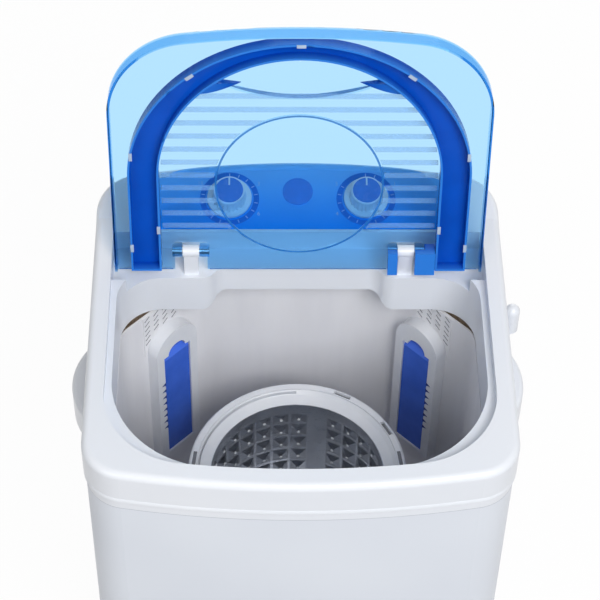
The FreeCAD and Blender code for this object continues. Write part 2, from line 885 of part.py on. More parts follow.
# The arch's outline: two legs and a half ellipse
def arch_face(half, rise, start, z):
    y_centre = lid_back - arch_centre
    centre, flank, crown = V(0, y_centre, z), V(half, y_centre, z), V(0, y_centre - rise, z)
    if half > rise:
        bow = Part.ArcOfEllipse(Part.Ellipse(flank, crown, centre), 0, math.pi).toShape()
    else:
        bow = Part.ArcOfEllipse(Part.Ellipse(crown, flank, centre), -math.pi / 2, math.pi / 2).toShape()
    first, last = bow.Vertexes[0].Point, bow.Vertexes[-1].Point
    foot_first = V(first.x, lid_back - start, z)
    foot_last = V(last.x, lid_back - start, z)
    edges = [bow, Part.makeLine(last, foot_last), Part.makeLine(foot_last, foot_first),
             Part.makeLine(foot_first, first)]
    return Part.Face(Part.Wire(edges))


def arch_band(inset, z0, z1):
    outer = arch_face(arch_outer_half - inset, arch_outer_rise - inset, arch_start + inset, z0)
    inner = arch_face(arch_inner_half + inset, arch_inner_rise + inset, arch_start - arch_overrun, z0)
    return outer.extrude(up * (z1 - z0)).cut(inner.extrude(up * (z1 - z0)))


def make_lid_arch():
    low = lid_inner - arch_depth
    channel = arch_band(0, low, lid_inner).cut(arch_band(arch_wall, low, lid_inner - arch_wall))
    return opened(channel)


def make_lid_cam():
    low = lid_top - cam_depth
    blocks = []
    for (x0, x1), outer in zip(ear_spans()[2:], (0, cam_outer)):
        under = block(x0, x1, pivot_y - cam_front, pivot_y + cam_rear, low, pivot_z - ear_radius)
        blocks.append(under)
        if outer:
            side = block(x1, x1 + outer, pivot_y - cam_front, pivot_y + cam_rear, low, lid_inner)
            blocks[-1] = under.fuse(side).removeSplitter()
    return opened(Part.makeCompound(blocks))


def make_hinge_posts():
    posts = []
    for side in (-1, 1):
        x = side * post_spread
        stem = block(x - post_width / 2, x + post_width / 2, pivot_y - post_thickness / 2,
                     pivot_y + post_thickness / 2, well_floor, pivot_z)
        cap = axle(x - post_cap_width / 2, x + post_cap_width / 2, pivot_y, pivot_z, post_knuckle)
        bore = axle(x - post_cap_width / 2, x + post_cap_width / 2, pivot_y, pivot_z,
                    pin_radius + running_gap)
        posts.append(stem.fuse(cap).cut(bore))
    return Part.makeCompound(posts)


def make_hinge_pins():
    reach = notch_half + ear_overlap
    return Part.makeCompound([axle(side * post_spread - reach, side * post_spread + reach, pivot_y, pivot_z,
                                   pin_radius) for side in (-1, 1)])


# Tub: six-sided, with flat back corners, a flange and a splash wall behind the lip's bay
def splash_wall():
    half = lip_bay_half + lip_bay_flare
    low = rim - tub_wall - flange_reach
    return block(-half, half, tub_back_y, tub_back_y + tub_wall, low, neck_bottom - splash_clearance)


def make_wash_tub():
    corners, radii = tub_outline(0)
    room = rounded_prism(corners, radii, tub_floor_height, rim)
    room = room.makeFillet(tub_foot_round, level_edges(room, tub_floor_height))
    corners, radii = tub_outline(tub_wall)
    shell = rounded_prism(corners, radii, tub_under, rim)
    shell = shell.makeFillet(tub_foot_round + tub_wall, level_edges(shell, tub_under))
    flange = rounded_prism(*flange_outline(0), rim - flange_wall, rim)
    holes = [post(0, axis_y, seal_radius + running_gap, tub_under, tub_floor_height),
             post(drain_place[0], drain_place[1], drain_bore, tub_under, tub_floor_height)]
    return shell.fuse([flange, splash_wall()]).cut([room] + holes).removeSplitter()


def flange_outline(inset):
    half = flange_half - inset
    near = tub_front_y - flange_reach + inset
    far = tub_back_y + flange_reach - inset
    corners = [(-half, near), (half, near), (half, far), (-half, far)]
    return corners, [flange_corner - inset] * 2 + [tub_back_corner - inset] * 2


def make_tub_gasket():
    foam = rounded_prism(*flange_outline(gasket_inset), rim, lip_bottom)
    return foam.cut([rounded_prism(*tub_outline(gasket_inset), rim, lip_bottom), splash_wall()])


# Filter pieces, drawn facing -Y about X = 0 with their back on Y = 0, then set on a flat corner
def on_flat_corner(shape, side):
    shape.rotate(V(0, 0, 0), up, 45)
    middle = tub_flat_corner / 2
    shape.translate(V(middle - tub_half, tub_back_y - middle, 0))
    shape.translate(V(1, 1, 0).normalize() * filter_offset)
    return shape if side < 0 else mirrored(shape)


# A disc facing -Y between two depths
def facing_disc(x, z, radius, y0, y1):
    return Part.makeCylinder(radius, y1 - y0, V(x, -y1, z), back_way)


def make_filter_frame(side):
    frame = block(-filter_half, filter_half, -filter_depth, 0, filter_bottom, filter_arch)
    frame = frame.fuse(facing_disc(0, filter_arch, filter_half, 0, filter_depth))
    slot_half = board_half + board_side_gap
    slot = block(-slot_half, slot_half, -filter_depth, -board_back, filter_bottom + board_back,
                 board_top + seat_gap)
    cuts = [slot, facing_disc(0, board_top, finger_radius, board_back, filter_depth)]
    for i in range(tooth_count):
        z = tooth_first + i * tooth_pitch
        root = V(-slot_half - tooth_reach, -board_back, z + tooth_notch / 2)
        notch = face_of([V(-slot_half, -board_back, z), root, V(-slot_half, -board_back, z + tooth_notch)])
        cuts.append(notch.extrude(back_way * (board_back - filter_depth)))
    return on_flat_corner(frame.cut(cuts), side)


def make_filter_board(side):
    back = board_back + seat_gap
    face = back + board_thickness
    bottom = filter_bottom + board_back + seat_gap
    board = block(-board_half, board_half, -face, -back, bottom, board_top)
    corner = [(-face, board_top - board_bevel), (-face, board_top), (-face + board_bevel, board_top)]
    bevel = along_x(corner, -board_half, board_half)
    tab = facing_disc(0, board_top, finger_tab_radius, back, back + finger_tab_thickness)
    return on_flat_corner(board.cut(bevel).fuse(tab), side)


def make_overflow_grille(side):
    top = rim - seat_gap
    plate = block(-grille_left, grille_right, -grille_thickness, 0, filter_arch, top)
    arch = facing_disc(0, filter_arch, filter_half + grille_clearance, 0, grille_thickness)
    plate = plate.cut(arch)
    slots = []
    for column in range(grille_columns):
        x = grille_right - grille_slot_length - column * grille_column_pitch
        bottom = filter_arch + math.sqrt(max((filter_half + grille_slot_margin) ** 2 - x * x, 0))
        count = int((top - bottom) / grille_slot_pitch)
        for i in range(count):
            slot = block(-grille_slot_length / 2, grille_slot_length / 2, -grille_thickness, 0,
                         -grille_slot_width / 2, grille_slot_width / 2)
            slot.rotate(V(0, 0, 0), back_way, -grille_slot_tilt)
            slots.append(slot.translate(V(x, 0, top - grille_edge - i * grille_slot_pitch)))
    return on_flat_corner(plate.cut(slots), side)


# Spin basket
def ring_profile():
    inner_top = ring_top - ring_inner_drop
    lower = ring_top - ring_skirt
    inside = [(ring_inner, lower), (ring_inner, inner_top),
              (ring_groove - ring_groove_width, inner_top + ring_step)]
    crown = [(ring_groove + ring_groove_width, ring_top - ring_edge), (ring_radius - ring_flat, ring_top),
             (ring_radius - ring_edge, ring_top), (ring_radius, ring_top - ring_edge)]
    skirt = [(ring_radius, lower), (ring_radius - ring_wall, lower),
             (ring_radius - ring_wall, ring_under + ring_step)]
    seat = [(drum_radius + ring_seat, ring_under), (ring_inner + ring_wall, ring_under),
            (ring_inner + ring_wall, lower)]
    return inside + crown + skirt + seat


def make_basket_ring():
    ring = face_of([V(r, 0, z) for r, z in ring_profile()]).revolve(V(0, 0, 0), up, 360)
    cuts = [tube(0, 0, ring_groove + ring_groove_width / 2, ring_groove - ring_groove_width / 2,
                 ring_top - ring_inner_drop + ring_step - ring_groove_depth, ring_top + ring_edge)
            .common(block(-ring_radius, 0, -ring_radius, ring_radius, 0, ring_top + ring_edge))]
    for angle in ring_slot_angles:
        slot = block(-ring_slot_length / 2, ring_slot_length / 2, ring_slot_radius - ring_slot_width / 2,
                     ring_slot_radius + ring_slot_width / 2, ring_under, ring_top + ring_edge)
        slot.rotate(V(0, 0, 0), up, -angle)
        cuts.append(slot)
    return ring.cut(cuts).translate(V(0, axis_y, 0))


# Drum sheet, folded from flat facets: each cell is pressed into a pyramid, the seam is left plain
def drum_point(column, level, radius):
    angle = math.radians(drum_seam_angle + 360.0 / drum_columns * column)
    return V(radius * math.sin(angle), axis_y + radius * math.cos(angle), level)


def drum_cell(column, low, high, radius, pressed):
    corners = [drum_point(column - 0.5, low, radius), drum_point(column + 0.5, low, radius),
               drum_point(column + 0.5, high, radius), drum_point(column - 0.5, high, radius)]
    if not pressed:
        return [face_of(corners)]
    middle = (corners[0] + corners[1] + corners[2] + corners[3]) * 0.25
    inset = pyramid_margin / drum_row_height * 2
    inner = [corner + (middle - corner) * inset for corner in corners]
    tip = drum_point(column, (low + high) / 2, radius - pyramid_height)
    faces = []
    for i in range(4):
        after = (i + 1) % 4
        faces.append(face_of([corners[i], corners[after], inner[after], inner[i]]))
        faces.append(face_of([inner[i], inner[after], tip]))
    return faces


def make_basket_drum():
    levels = [drum_bottom, drum_bottom + drum_plain_band]
    levels += [levels[1] + drum_row_height * (i + 1) for i in range(drum_rows)]
    levels.append(drum_top)
    faces = []
    for radius in (drum_radius, drum_radius + drum_sheet):
        for row in range(len(levels) - 1):
            plain_row = row in (0, len(levels) - 2)
            for column in range(drum_columns):
                pressed = column > 0 and not plain_row
                faces += drum_cell(column, levels[row], levels[row + 1], radius, pressed)
    for level in (drum_bottom, drum_top):
        for column in range(drum_columns):
            a, b = column - 0.5, column + 0.5
            outer = drum_radius + drum_sheet
            faces.append(face_of([drum_point(a, level, drum_radius), drum_point(b, level, drum_radius),
                                  drum_point(b, level, outer), drum_point(a, level, outer)]))
    shell = Part.makeShell(faces)
    shell.sewShape()
    return Part.makeSolid(shell)


def make_basket_base():
    outer = drum_radius + drum_sheet + basket_floor_overhang
    disc = post(0, axis_y, outer, basket_floor, drum_bottom)
    hub_low = vane_top + pulsator_lift / 2
    hub = post(0, axis_y, boss_radius + hub_wall, hub_low, hub_roof + basket_floor_wall)
    bore = post(0, axis_y, boss_radius + seat_gap, hub_low, hub_roof)
    holes = []
    for i in range(basket_holes):
        angle = math.tau * i / basket_holes
        x, y = basket_hole_circle * math.cos(angle), axis_y + basket_hole_circle * math.sin(angle)
        holes.append(post(x, y, basket_hole_radius, basket_floor, drum_bottom))
    return disc.fuse(hub).cut([bore] + holes)


# Pulsator, shaft and drive
def make_pulsator():
    disc = post(0, axis_y, pulsator_radius, pulsator_bottom, pulsator_bottom + pulsator_wall)
    boss = post(0, axis_y, boss_radius, pulsator_bottom, boss_top)
    vanes = []
    for i in range(vane_count):
        vane = block(vane_start, vane_start + vane_length, -vane_width / 2, vane_width / 2,
                     pulsator_bottom, vane_top)
        vane.rotate(V(0, 0, 0), up, 360.0 / vane_count * i)
        vanes.append(vane.translate(V(0, axis_y, 0)))
    bores = [post(0, axis_y, shaft_radius + running_gap, pulsator_bottom, shaft_top + running_gap),
             post(0, axis_y, screw_radius + running_gap, shaft_top, boss_top),
             post(0, axis_y, screw_head_radius + seat_gap, boss_top - screw_recess, boss_top)]
    return disc.fuse([boss] + vanes).cut(bores)


def make_pulsator_screw():
    seat = boss_top - screw_recess
    return post(0, axis_y, screw_radius, shaft_top - screw_grip, seat).fuse(
        post(0, axis_y, screw_head_radius, seat, seat + screw_head_height))


def make_main_shaft():
    shaft = post(0, axis_y, shaft_radius, pulley_bottom, shaft_top)
    tapped = post(0, axis_y, screw_radius + running_gap, shaft_top - screw_grip - seat_gap, shaft_top)
    return shaft.cut(tapped)


def make_pulley(y, radius, bore):
    solid = post(0, y, radius, pulley_bottom, pulley_top)
    groove = tube(0, y, radius, radius - pulley_groove, belt_bottom - belt_gap,
                  belt_bottom + belt_width + belt_gap)
    return solid.cut([groove, post(0, y, bore, pulley_bottom, pulley_top)])


# The belt's outline round both pulleys, set out from the grooves
def belt_face(grow):
    large = driven_pulley_radius - pulley_groove + grow
    small = motor_pulley_radius - pulley_groove + grow
    distance = motor_y - axis_y
    tilt = math.asin((large - small) / distance)
    side, lean = math.cos(tilt), math.sin(tilt)
    a = V(large * side, axis_y + large * lean, belt_bottom)
    b = V(small * side, motor_y + small * lean, belt_bottom)
    far = V(0, motor_y + small, belt_bottom)
    near = V(0, axis_y - large, belt_bottom)
    c = V(-b.x, b.y, b.z)
    d = V(-a.x, a.y, a.z)
    edges = [Part.makeLine(a, b), Part.Arc(b, far, c).toShape(), Part.makeLine(c, d),
             Part.Arc(d, near, a).toShape()]
    return Part.Face(Part.Wire(edges))


def make_drive_belt():
    return belt_face(belt_gap + belt_thickness).cut(belt_face(belt_gap)).extrude(up * belt_width)


def make_shaft_seal():
    ring = tube(0, axis_y, seal_radius, shaft_radius + seat_gap, tub_under, tub_floor_height)
    flange = tube(0, axis_y, seal_flange, shaft_radius + seat_gap, tub_floor_height,
                  tub_floor_height + seal_flange_wall)
    return ring.fuse(flange)


def make_bearing_housing():
    barrel = post(0, axis_y, housing_radius, plate_top, tub_under)
    flange = post(0, axis_y, housing_flange_radius, tub_under - housing_flange_wall, tub_under)
    foot = post(0, axis_y, housing_flange_radius, plate_top, plate_top + housing_flange_wall)
    bore = post(0, axis_y, shaft_radius + running_gap, plate_top, tub_under)
    return barrel.fuse([flange, foot]).cut(bore)


def make_drive_plate():
    plate = block(-plate_half, plate_half, plate_front, plate_back, plate_height, plate_top)
    holes = [post(0, axis_y, shaft_radius * 1.5, plate_height, plate_top),
             post(0, motor_y, motor_shaft_radius * 2, plate_height, plate_top)]
    holes += [post(x, y, machine_screw_radius + running_gap, plate_height, plate_top)
              for x, y in plate_post_places()]
    return plate.cut(holes)


def make_drive_plate_screws():
    low = plate_top - machine_screw_length
    return Part.makeCompound([
        post(x, y, machine_screw_radius, low, plate_top).fuse(
            post(x, y, machine_screw_head, plate_top, plate_top + machine_screw_head_height))
        for x, y in plate_post_places()])


def motor_bush_places():
    reach = motor_foot - bush_radius
    return [(sx * reach, motor_y + sy * reach) for sx in (-1, 1) for sy in (-1, 1)]


def make_motor_body():
    foot = block(-motor_foot, motor_foot, motor_y - motor_foot, motor_y + motor_foot,
                 motor_foot_bottom, motor_foot_bottom + motor_foot_wall)
    can = post(0, motor_y, motor_radius, motor_foot_bottom, motor_foot_bottom + motor_body_height)
    can = can.makeFillet(deck_edge, level_edges(can, motor_foot_bottom + motor_body_height))
    bore = post(0, motor_y, motor_shaft_radius + running_gap, motor_foot_bottom,
                motor_foot_bottom + motor_body_height / 2)
    return foot.fuse(can).cut(bore)


def make_motor_bushes():
    return Part.makeCompound([post(x, y, bush_radius, plate_top, motor_foot_bottom)
                              for x, y in motor_bush_places()])


def make_motor_shaft():
    top = motor_foot_bottom + motor_body_height / 2 - seat_gap
    return post(0, motor_y, motor_shaft_radius, pulley_bottom, top)


def make_run_capacitor():
    x, y = capacitor_place
    low = foot_height + base_floor
    return post(x, y, capacitor_radius, low, low + capacitor_height)


def make_capacitor_clip():
    x, y = capacitor_place
    low = foot_height + base_floor
    outer = capacitor_radius + running_gap + clip_wall
    ring = tube(x, y, outer, capacitor_radius + running_gap, low + clip_lift, low + clip_lift + clip_height)
    leg = block(x - clip_wall * 2, x + clip_wall * 2, y + outer - clip_wall / 2, y + outer + clip_wall,
                low, low + clip_lift + clip_height)
    return ring.fuse(leg)


# Drain: bent pipe from the tub floor to a spigot on the right side
def pipe_along_drain(radius):
    x, y = drain_place
    top = V(x, y, tub_under)
    start = V(x, y, drain_height + drain_bend)
    end = V(x + drain_bend, y, drain_height)
    elbow = V(x + drain_bend * (1 - math.sqrt(0.5)), y, drain_height + drain_bend * (1 - math.sqrt(0.5)))
    tip = V(half_width + spigot_reach, y, drain_height)
    bend = Part.Arc(start, elbow, end).toShape()
    path = Part.Wire([Part.makeLine(top, start), bend, Part.makeLine(end, tip)])
    circle = Part.Wire([Part.makeCircle(radius, top, V(0, 0, -1))])
    return path.makePipeShell([circle], True, True)


def make_drain_pipe():
    x, y = drain_place
    flange = post(x, y, drain_flange_radius, tub_under - drain_flange_wall, tub_under)
    spigot = axle(wall_face + grommet_flange_wall, half_width + spigot_reach, y, drain_height,
                  spigot_radius)
    return pipe_along_drain(drain_radius).fuse([flange, spigot]).cut(pipe_along_drain(drain_bore))


def make_drain_grommet():
    y = drain_place[1]
    outer = drain_radius + grommet_wall - running_gap
    sleeve = axle(wall_face - sheet, wall_face, y, drain_height, outer)
    flange = axle(wall_face, wall_face + grommet_flange_wall, y, drain_height, outer + grommet_flange)
    bore = axle(0, body_width, y, drain_height, drain_radius + running_gap)
    return sleeve.fuse(flange).cut(bore)


# Side grip: a curved scoop on the wall, open below for the fingers
def grip_prism(inset, z0, z1):
    half = grip_length / 2 - inset
    start = V(wall_face, grip_y - half, z0)
    end = V(wall_face, grip_y + half, z0)
    bow = Part.Arc(start, V(half_width + grip_reach - inset, grip_y, z0), end).toShape()
    return Part.Face(Part.Wire([bow, Part.makeLine(end, start)])).extrude(up * (z1 - z0))


def make_side_handle(side):
    solid = grip_prism(0, grip_top - grip_height, grip_top)
    rim_edges = [e for e in level_edges(solid, grip_top) if e.Length > grip_length + 0.001]
    solid = solid.makeFillet(grip_edge, rim_edges)
    solid = solid.cut(grip_prism(grip_wall, grip_top - grip_height, grip_top - grip_wall))
    return solid if side > 0 else mirrored(solid)


def make_hose_peg():
    x = wall_face + peg_plate_wall + peg_reach
    plate = block(wall_face, wall_face + peg_plate_wall, peg_y - peg_plate_half, peg_y + peg_plate_half,
                  peg_plate_bottom, peg_top - peg_radius)
    low = peg_top - peg_length
    peg = post(x, peg_y, peg_radius, low, peg_top - peg_radius)
    dome = Part.makeSphere(peg_radius, V(x, peg_y, peg_top - peg_radius))
    web = block(wall_face, x, peg_y - peg_plate_wall, peg_y + peg_plate_wall, low, low + peg_radius)
    side = peg_y - peg_plate_wall
    gusset = face_of([V(wall_face, side, peg_plate_bottom), V(wall_face, side, low),
                      V(x + peg_gusset, side, low)]).extrude(back_way * (2 * peg_plate_wall))
    hole = axle(wall_face, wall_face + peg_plate_wall, peg_y + peg_hole_side,
                peg_plate_bottom + peg_radius, peg_hole_radius)
    return plate.fuse([peg, dome, web, gusset]).cut(hole)


pieces = {
    "cabinet": make_cabinet(),
    "base_tray": make_base_tray(),
    "base_feet": make_base_feet(),
    "top_deck": make_top_deck(),
    "control_panel": make_control_panel(),
    "panel_badge": make_panel_badge(),
    "wash_tub": make_wash_tub(),
    "tub_gasket": make_tub_gasket(),
    "left_filter_frame": make_filter_frame(-1),
    "right_filter_frame": make_filter_frame(1),
    "left_filter_board": make_filter_board(-1),
    "right_filter_board": make_filter_board(1),
    "left_overflow_grille": make_overflow_grille(-1),
    "right_overflow_grille": make_overflow_grille(1),
    "hinge_posts": make_hinge_posts(),
    "hinge_pins": make_hinge_pins(),
    "left_side_handle": make_side_handle(-1),
    "right_side_handle": make_side_handle(1),
    "hose_peg": make_hose_peg(),
    "back_cover": make_back_cover(),
    "back_cover_screws": make_back_cover_screws(),
    "cord_gland": make_cord_gland(),
    "drain_pipe": make_drain_pipe(),
    "drain_grommet": make_drain_grommet(),
    "drive_plate": make_drive_plate(),
    "drive_plate_screws": make_drive_plate_screws(),
    "bearing_housing": make_bearing_housing(),
    "shaft_seal": make_shaft_seal(),
    "motor_body": make_motor_body(),
    "motor_bushes": make_motor_bushes(),
    "drive_belt": make_drive_belt(),
    "run_capacitor": make_run_capacitor(),
    "capacitor_clip": make_capacitor_clip(),
    "wash_timer": make_timer(-1),
    "spin_timer": make_timer(1),
    "lid_switch": make_lid_switch(),
    "lid_panel": make_lid_panel(),
    "lid_arch": make_lid_arch(),
    "lid_cam": make_lid_cam(),
    "wash_knob": make_knob(-1),
    "wash_timer_shaft": make_timer_shaft(-1),
    "spin_knob": make_knob(1),
    "spin_timer_shaft": make_timer_shaft(1),
    "pulsator": make_pulsator(),
    "pulsator_screw": make_pulsator_screw(),
    "main_shaft": make_main_shaft(),
    "driven_pulley": make_pulley(axis_y, driven_pulley_radius, shaft_radius + running_gap),
    "motor_shaft": make_motor_shaft(),
    "motor_pulley": make_pulley(motor_y, motor_pulley_radius, motor_shaft_radius + running_gap),
    "basket_base": make_basket_base(),
    "basket_drum": make_basket_drum(),
    "basket_ring": make_basket_ring(),
}

os.makedirs("parts", exist_ok=True)
for name, shape in pieces.items():
    shape.exportStep("parts/" + name + ".step")
    print(name, len(shape.Solids), shape.isValid(), round(shape.Volume / 1000, 2), "cm3")
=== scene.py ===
import math

import bmesh
import bpy
import numpy as np
from mathutils import Matrix, Vector


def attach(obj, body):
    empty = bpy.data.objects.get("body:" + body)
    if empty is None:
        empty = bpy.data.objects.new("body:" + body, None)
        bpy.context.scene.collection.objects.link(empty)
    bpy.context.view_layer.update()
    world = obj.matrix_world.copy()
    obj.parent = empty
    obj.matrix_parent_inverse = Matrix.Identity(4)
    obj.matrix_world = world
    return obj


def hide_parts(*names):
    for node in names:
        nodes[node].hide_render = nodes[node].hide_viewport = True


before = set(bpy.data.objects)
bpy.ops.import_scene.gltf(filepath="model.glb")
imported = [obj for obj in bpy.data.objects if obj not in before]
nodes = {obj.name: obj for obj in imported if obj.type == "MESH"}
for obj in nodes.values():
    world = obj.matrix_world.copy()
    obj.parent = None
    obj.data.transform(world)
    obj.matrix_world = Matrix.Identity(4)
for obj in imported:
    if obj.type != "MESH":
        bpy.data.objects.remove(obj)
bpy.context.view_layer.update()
mm = 0.001
weld = 0.001 * mm  # corners nearer than this are merged
lidLean = math.radians(10.35)  # the open lid leans back by this much
# the direction straight out of the open lid's back face
lidOut = np.array([0, math.cos(lidLean), -math.sin(lidLean)])
print("frame loaded:", len(nodes), "CAD nodes")


def linear(hexColour):
    # sRGB hex to linear light
    c = np.array([int(hexColour[i:i + 2], 16) for i in (1, 3, 5)]) / 255
    c = np.where(c <= 0.04045, c / 12.92, ((c + 0.055) / 1.055) ** 2.4)
    return (*c.tolist(), 1.0)


def put(tree, kind, inputs=None, **settings):
    # one node: settings are its properties, inputs are plain values or sockets to link
    node = tree.nodes.new(kind)
    for key, value in settings.items():
        setattr(node, key, value)
    for key, value in (inputs or {}).items():
        if isinstance(value, bpy.types.NodeSocket):
            tree.links.new(value, node.inputs[key])
        else:
            node.inputs[key].default_value = value
    return node


def newMaterial(name):
    material = bpy.data.materials.new(name)
    material.use_nodes = True
    material.node_tree.nodes.clear()
    return material, material.node_tree


# A noise value lies mostly in this middle stretch, which is carried to the whole range with soft ends
noiseEnds = {"From Min": 0.2, "From Max": 0.8}
softEnds = dict(interpolation_type="SMOOTHSTEP")


def roughEnds(look):
    # the range of a look's roughness, from its most polished to its dullest
    polished, dull = look["rough"]
    return {**noiseEnds, "To Min": polished, "To Max": dull}


def cloudyColour(tree, cloud, look):
    # the look's two colours blended by a noise value
    share = put(tree, "ShaderNodeMapRange", {"Value": cloud, **noiseEnds}, **softEnds).outputs["Result"]
    ends = {6: linear(look["colour"]), 7: linear(look["shade"])}
    return put(tree, "ShaderNodeMix", {0: share, **ends}, data_type="RGBA").outputs[2]


# Injection-moulded plastics: a cloudy shade from the melt, a fine spark-eroded grain and a slightly
# uneven polish. patch is the cloud size and grain the texture's pitch in mm; the grain is drawn
# about twice as coarse as real so that it shows, and 0.05 mm deep.
plasticGrain = dict(depth=0.05, detail=2.0, cloudDetail=3.0)


def mouldedPlastic(name, look):
    material, tree = newMaterial(name)
    place = put(tree, "ShaderNodeTexCoord").outputs["Object"]
    if "stretch" in look:
        place = put(tree, "ShaderNodeMapping", {"Vector": place, "Scale": look["stretch"]}).outputs["Vector"]
    melt = {"Vector": place, "Scale": 1 / (look["patch"] * mm),
            "Detail": look.get("detail", plasticGrain["cloudDetail"])}
    cloud = put(tree, "ShaderNodeTexNoise", melt).outputs["Fac"]
    texture = {"Vector": place, "Scale": 1 / (look["grain"] * mm), "Detail": plasticGrain["detail"]}
    grain = put(tree, "ShaderNodeTexNoise", texture).outputs["Fac"]
    colour = cloudyColour(tree, cloud, look)
    if "edge" in look:
        # painted light: the walls are drawn paler towards their free edge, for the light that passes through
        # thin walls, measured along the lid's outward direction
        depth = put(tree, "ShaderNodeVectorMath", {0: place, 1: lidOut.tolist()}, operation="DOT_PRODUCT")
        near, far = look["span"]
        ends = {"From Min": near * mm, "From Max": far * mm, "To Min": 1.0, "To Max": 0.0}
        paintedThroughLight = put(tree, "ShaderNodeMapRange", {"Value": depth.outputs["Value"], **ends})
        colour = put(tree, "ShaderNodeMix", {0: paintedThroughLight.outputs["Result"], 6: colour, 7: linear(look["edge"])},
                     data_type="RGBA").outputs[2]
    rough = put(tree, "ShaderNodeMapRange", {"Value": cloud, **roughEnds(look)}, **softEnds)
    bump = put(tree, "ShaderNodeBump", {"Height": grain, "Strength": look["bump"],
                                        "Distance": plasticGrain["depth"] * mm})
    shader = put(tree, "ShaderNodeBsdfPrincipled", {
        "Base Color": colour, "Roughness": rough.outputs["Result"], "IOR": look["ior"],
        "Normal": bump.outputs["Normal"], **look.get("more", {})})
    put(tree, "ShaderNodeOutputMaterial", {"Surface": shader.outputs[0]})
    return material


plasticLooks = {
    # gloss ABS: cool white shell, soft wide highlights
    "glossAbsWhite": dict(colour="#EFF2F8", shade="#EBEFF6", patch=160, detail=1.0, rough=(0.28, 0.31),
                          grain=1.6, bump=0.05, ior=1.53,
                          more={"Coat Weight": 0.15, "Coat Roughness": 0.2}),
    # ABS with a finer matte texture on the cabinet walls
    "satinAbsWhite": dict(colour="#E8EDF5", shade="#E3E8F1", patch=160, detail=1.0, rough=(0.34, 0.44),
                          grain=1.1, bump=0.12, ior=1.53),
    # polypropylene tub: greyer, milky, with faint upright streaks in tone and polish: flow lines, and in the
    # tone also painted sheen for upright bands of reflection on its walls
    "milkyPolypropylene": dict(colour="#F2F2F5", shade="#EAEAEE", patch=26, rough=(0.36, 0.5), grain=1.4,
                               bump=0.06, ior=1.49, stretch=(1, 1, 0.12)),
    # polypropylene filter frames and basket ring: clean white with a satin sheen
    "whitePolypropylene": dict(colour="#F0F2F6", shade="#E8EBF1", patch=30, rough=(0.3, 0.42), grain=1.2,
                               bump=0.06, ior=1.49),
    # royal-blue polypropylene lint boards: strong even colour, satin
    "bluePolypropylene": dict(colour="#4072E6", shade="#3867D8", patch=24, rough=(0.34, 0.46), grain=1.0,
                              bump=0.1, ior=1.49),
    # the boards' blue polypropylene on their teeth, drawn darker as painted shade for the shade down in the
    # frame's notches
    "toothShadePolypropylene": dict(colour="#1E3C98", shade="#1A3488", patch=12, rough=(0.4, 0.5), grain=1.0,
                               bump=0.1, ior=1.49),
    # deep blue clear ABS of the arch and cam: glossy, with painted light making it paler towards the free
    # edges of its thin walls
    "deepBlueAbs": dict(colour="#0A5CD2", shade="#0852C2", patch=40, rough=(0.12, 0.2), grain=2.4,
                        bump=0.02, ior=1.3, edge="#3488EC", span=(-22.2, -13.0),
                        more={"Transmission Weight": 0.15, "Specular IOR Level": 0.2}),
    # blue ABS of the badge, plain and glossy, and of the knobs' caps, a little duller
    "badgeAbs": dict(colour="#3F8EE8", shade="#3984DC", patch=8, rough=(0.16, 0.24), grain=0.8,
                     bump=0.02, ior=1.53),
    "knobCapAbs": dict(colour="#4F90E4", shade="#4886D8", patch=10, rough=(0.2, 0.3), grain=0.8,
                       bump=0.05, ior=1.53),
    # screen-printing inks of the dial scales: flat and dull
    "scaleInk": dict(colour="#1B7ADC", shade="#1872D0", patch=12, rough=(0.4, 0.5), grain=0.6,
                     bump=0.03, ior=1.5),
    "markInk": dict(colour="#B4D2F2", shade="#A6C8EE", patch=6, rough=(0.4, 0.5), grain=0.6,
                    bump=0.03, ior=1.5),
    # the pale tub seen through the drum's small holes
    "tipLight": dict(colour="#F2F4F7", shade="#E6E9EE", patch=5, rough=(0.3, 0.4), grain=0.6,
                     bump=0.02, ior=1.49),
    # shaded polypropylene down inside the narrow overflow slits and the ring's slots
    "slitShade": dict(colour="#7E8087", shade="#727479", patch=6, rough=(0.6, 0.7), grain=0.8,
                      bump=0.05, ior=1.49),
    # ABS in the shade of the seam between the deck and the cabinet
    "seamShade": dict(colour="#CDD1DA", shade="#C6CAD4", patch=20, rough=(0.5, 0.6), grain=1.0,
                      bump=0.05, ior=1.53),
    # clear SAN clips that hold the arch: pale, with small sharp highlights
    "clipSan": dict(colour="#B4C4DA", shade="#A8BAD2", patch=4, rough=(0.14, 0.22), grain=0.6,
                    bump=0.02, ior=1.5),
    # matte polypropylene of the base and the back cover
    "greyPolypropylene": dict(colour="#D3D6DB", shade="#C8CCD2", patch=50, rough=(0.42, 0.55), grain=1.3,
                              bump=0.14, ior=1.49),
    # darker polypropylene of the drain pipe
    "drainPolypropylene": dict(colour="#AEB2B8", shade="#A2A6AD", patch=20, rough=(0.42, 0.55), grain=1.0,
                               bump=0.1, ior=1.49),
    # black nylon of the gland, the timers, the switch and the housings: a dull sheen
    "blackNylon": dict(colour="#222326", shade="#1A1B1D", patch=14, rough=(0.4, 0.55), grain=0.8,
                       bump=0.12, ior=1.53),
    # moulded rubber: dark, dull, slightly dusty
    "blackRubber": dict(colour="#232323", shade="#303030", patch=9, rough=(0.65, 0.8), grain=0.7,
                        bump=0.25, ior=1.52),
    # brown sealing foam, cells about 1 mm
    "brownFoam": dict(colour="#6B5A48", shade="#4A3D30", patch=3, rough=(0.85, 0.95), grain=1.0,
                      bump=1.0, ior=1.45),
}
plastics = {name: mouldedPlastic(name, look) for name, look in plasticLooks.items()}
print("moulded plastics:", len(plastics))


# Metals: rolled or turned stainless and cast alloy. The grain is a noise drawn out along the rolling
# direction; lines are 0.3 to 1 mm apart, coarser than real so that they show, and 0.04 mm deep.
metalGrain = dict(depth=0.04, detail=4.0, cloudDetail=2.0)


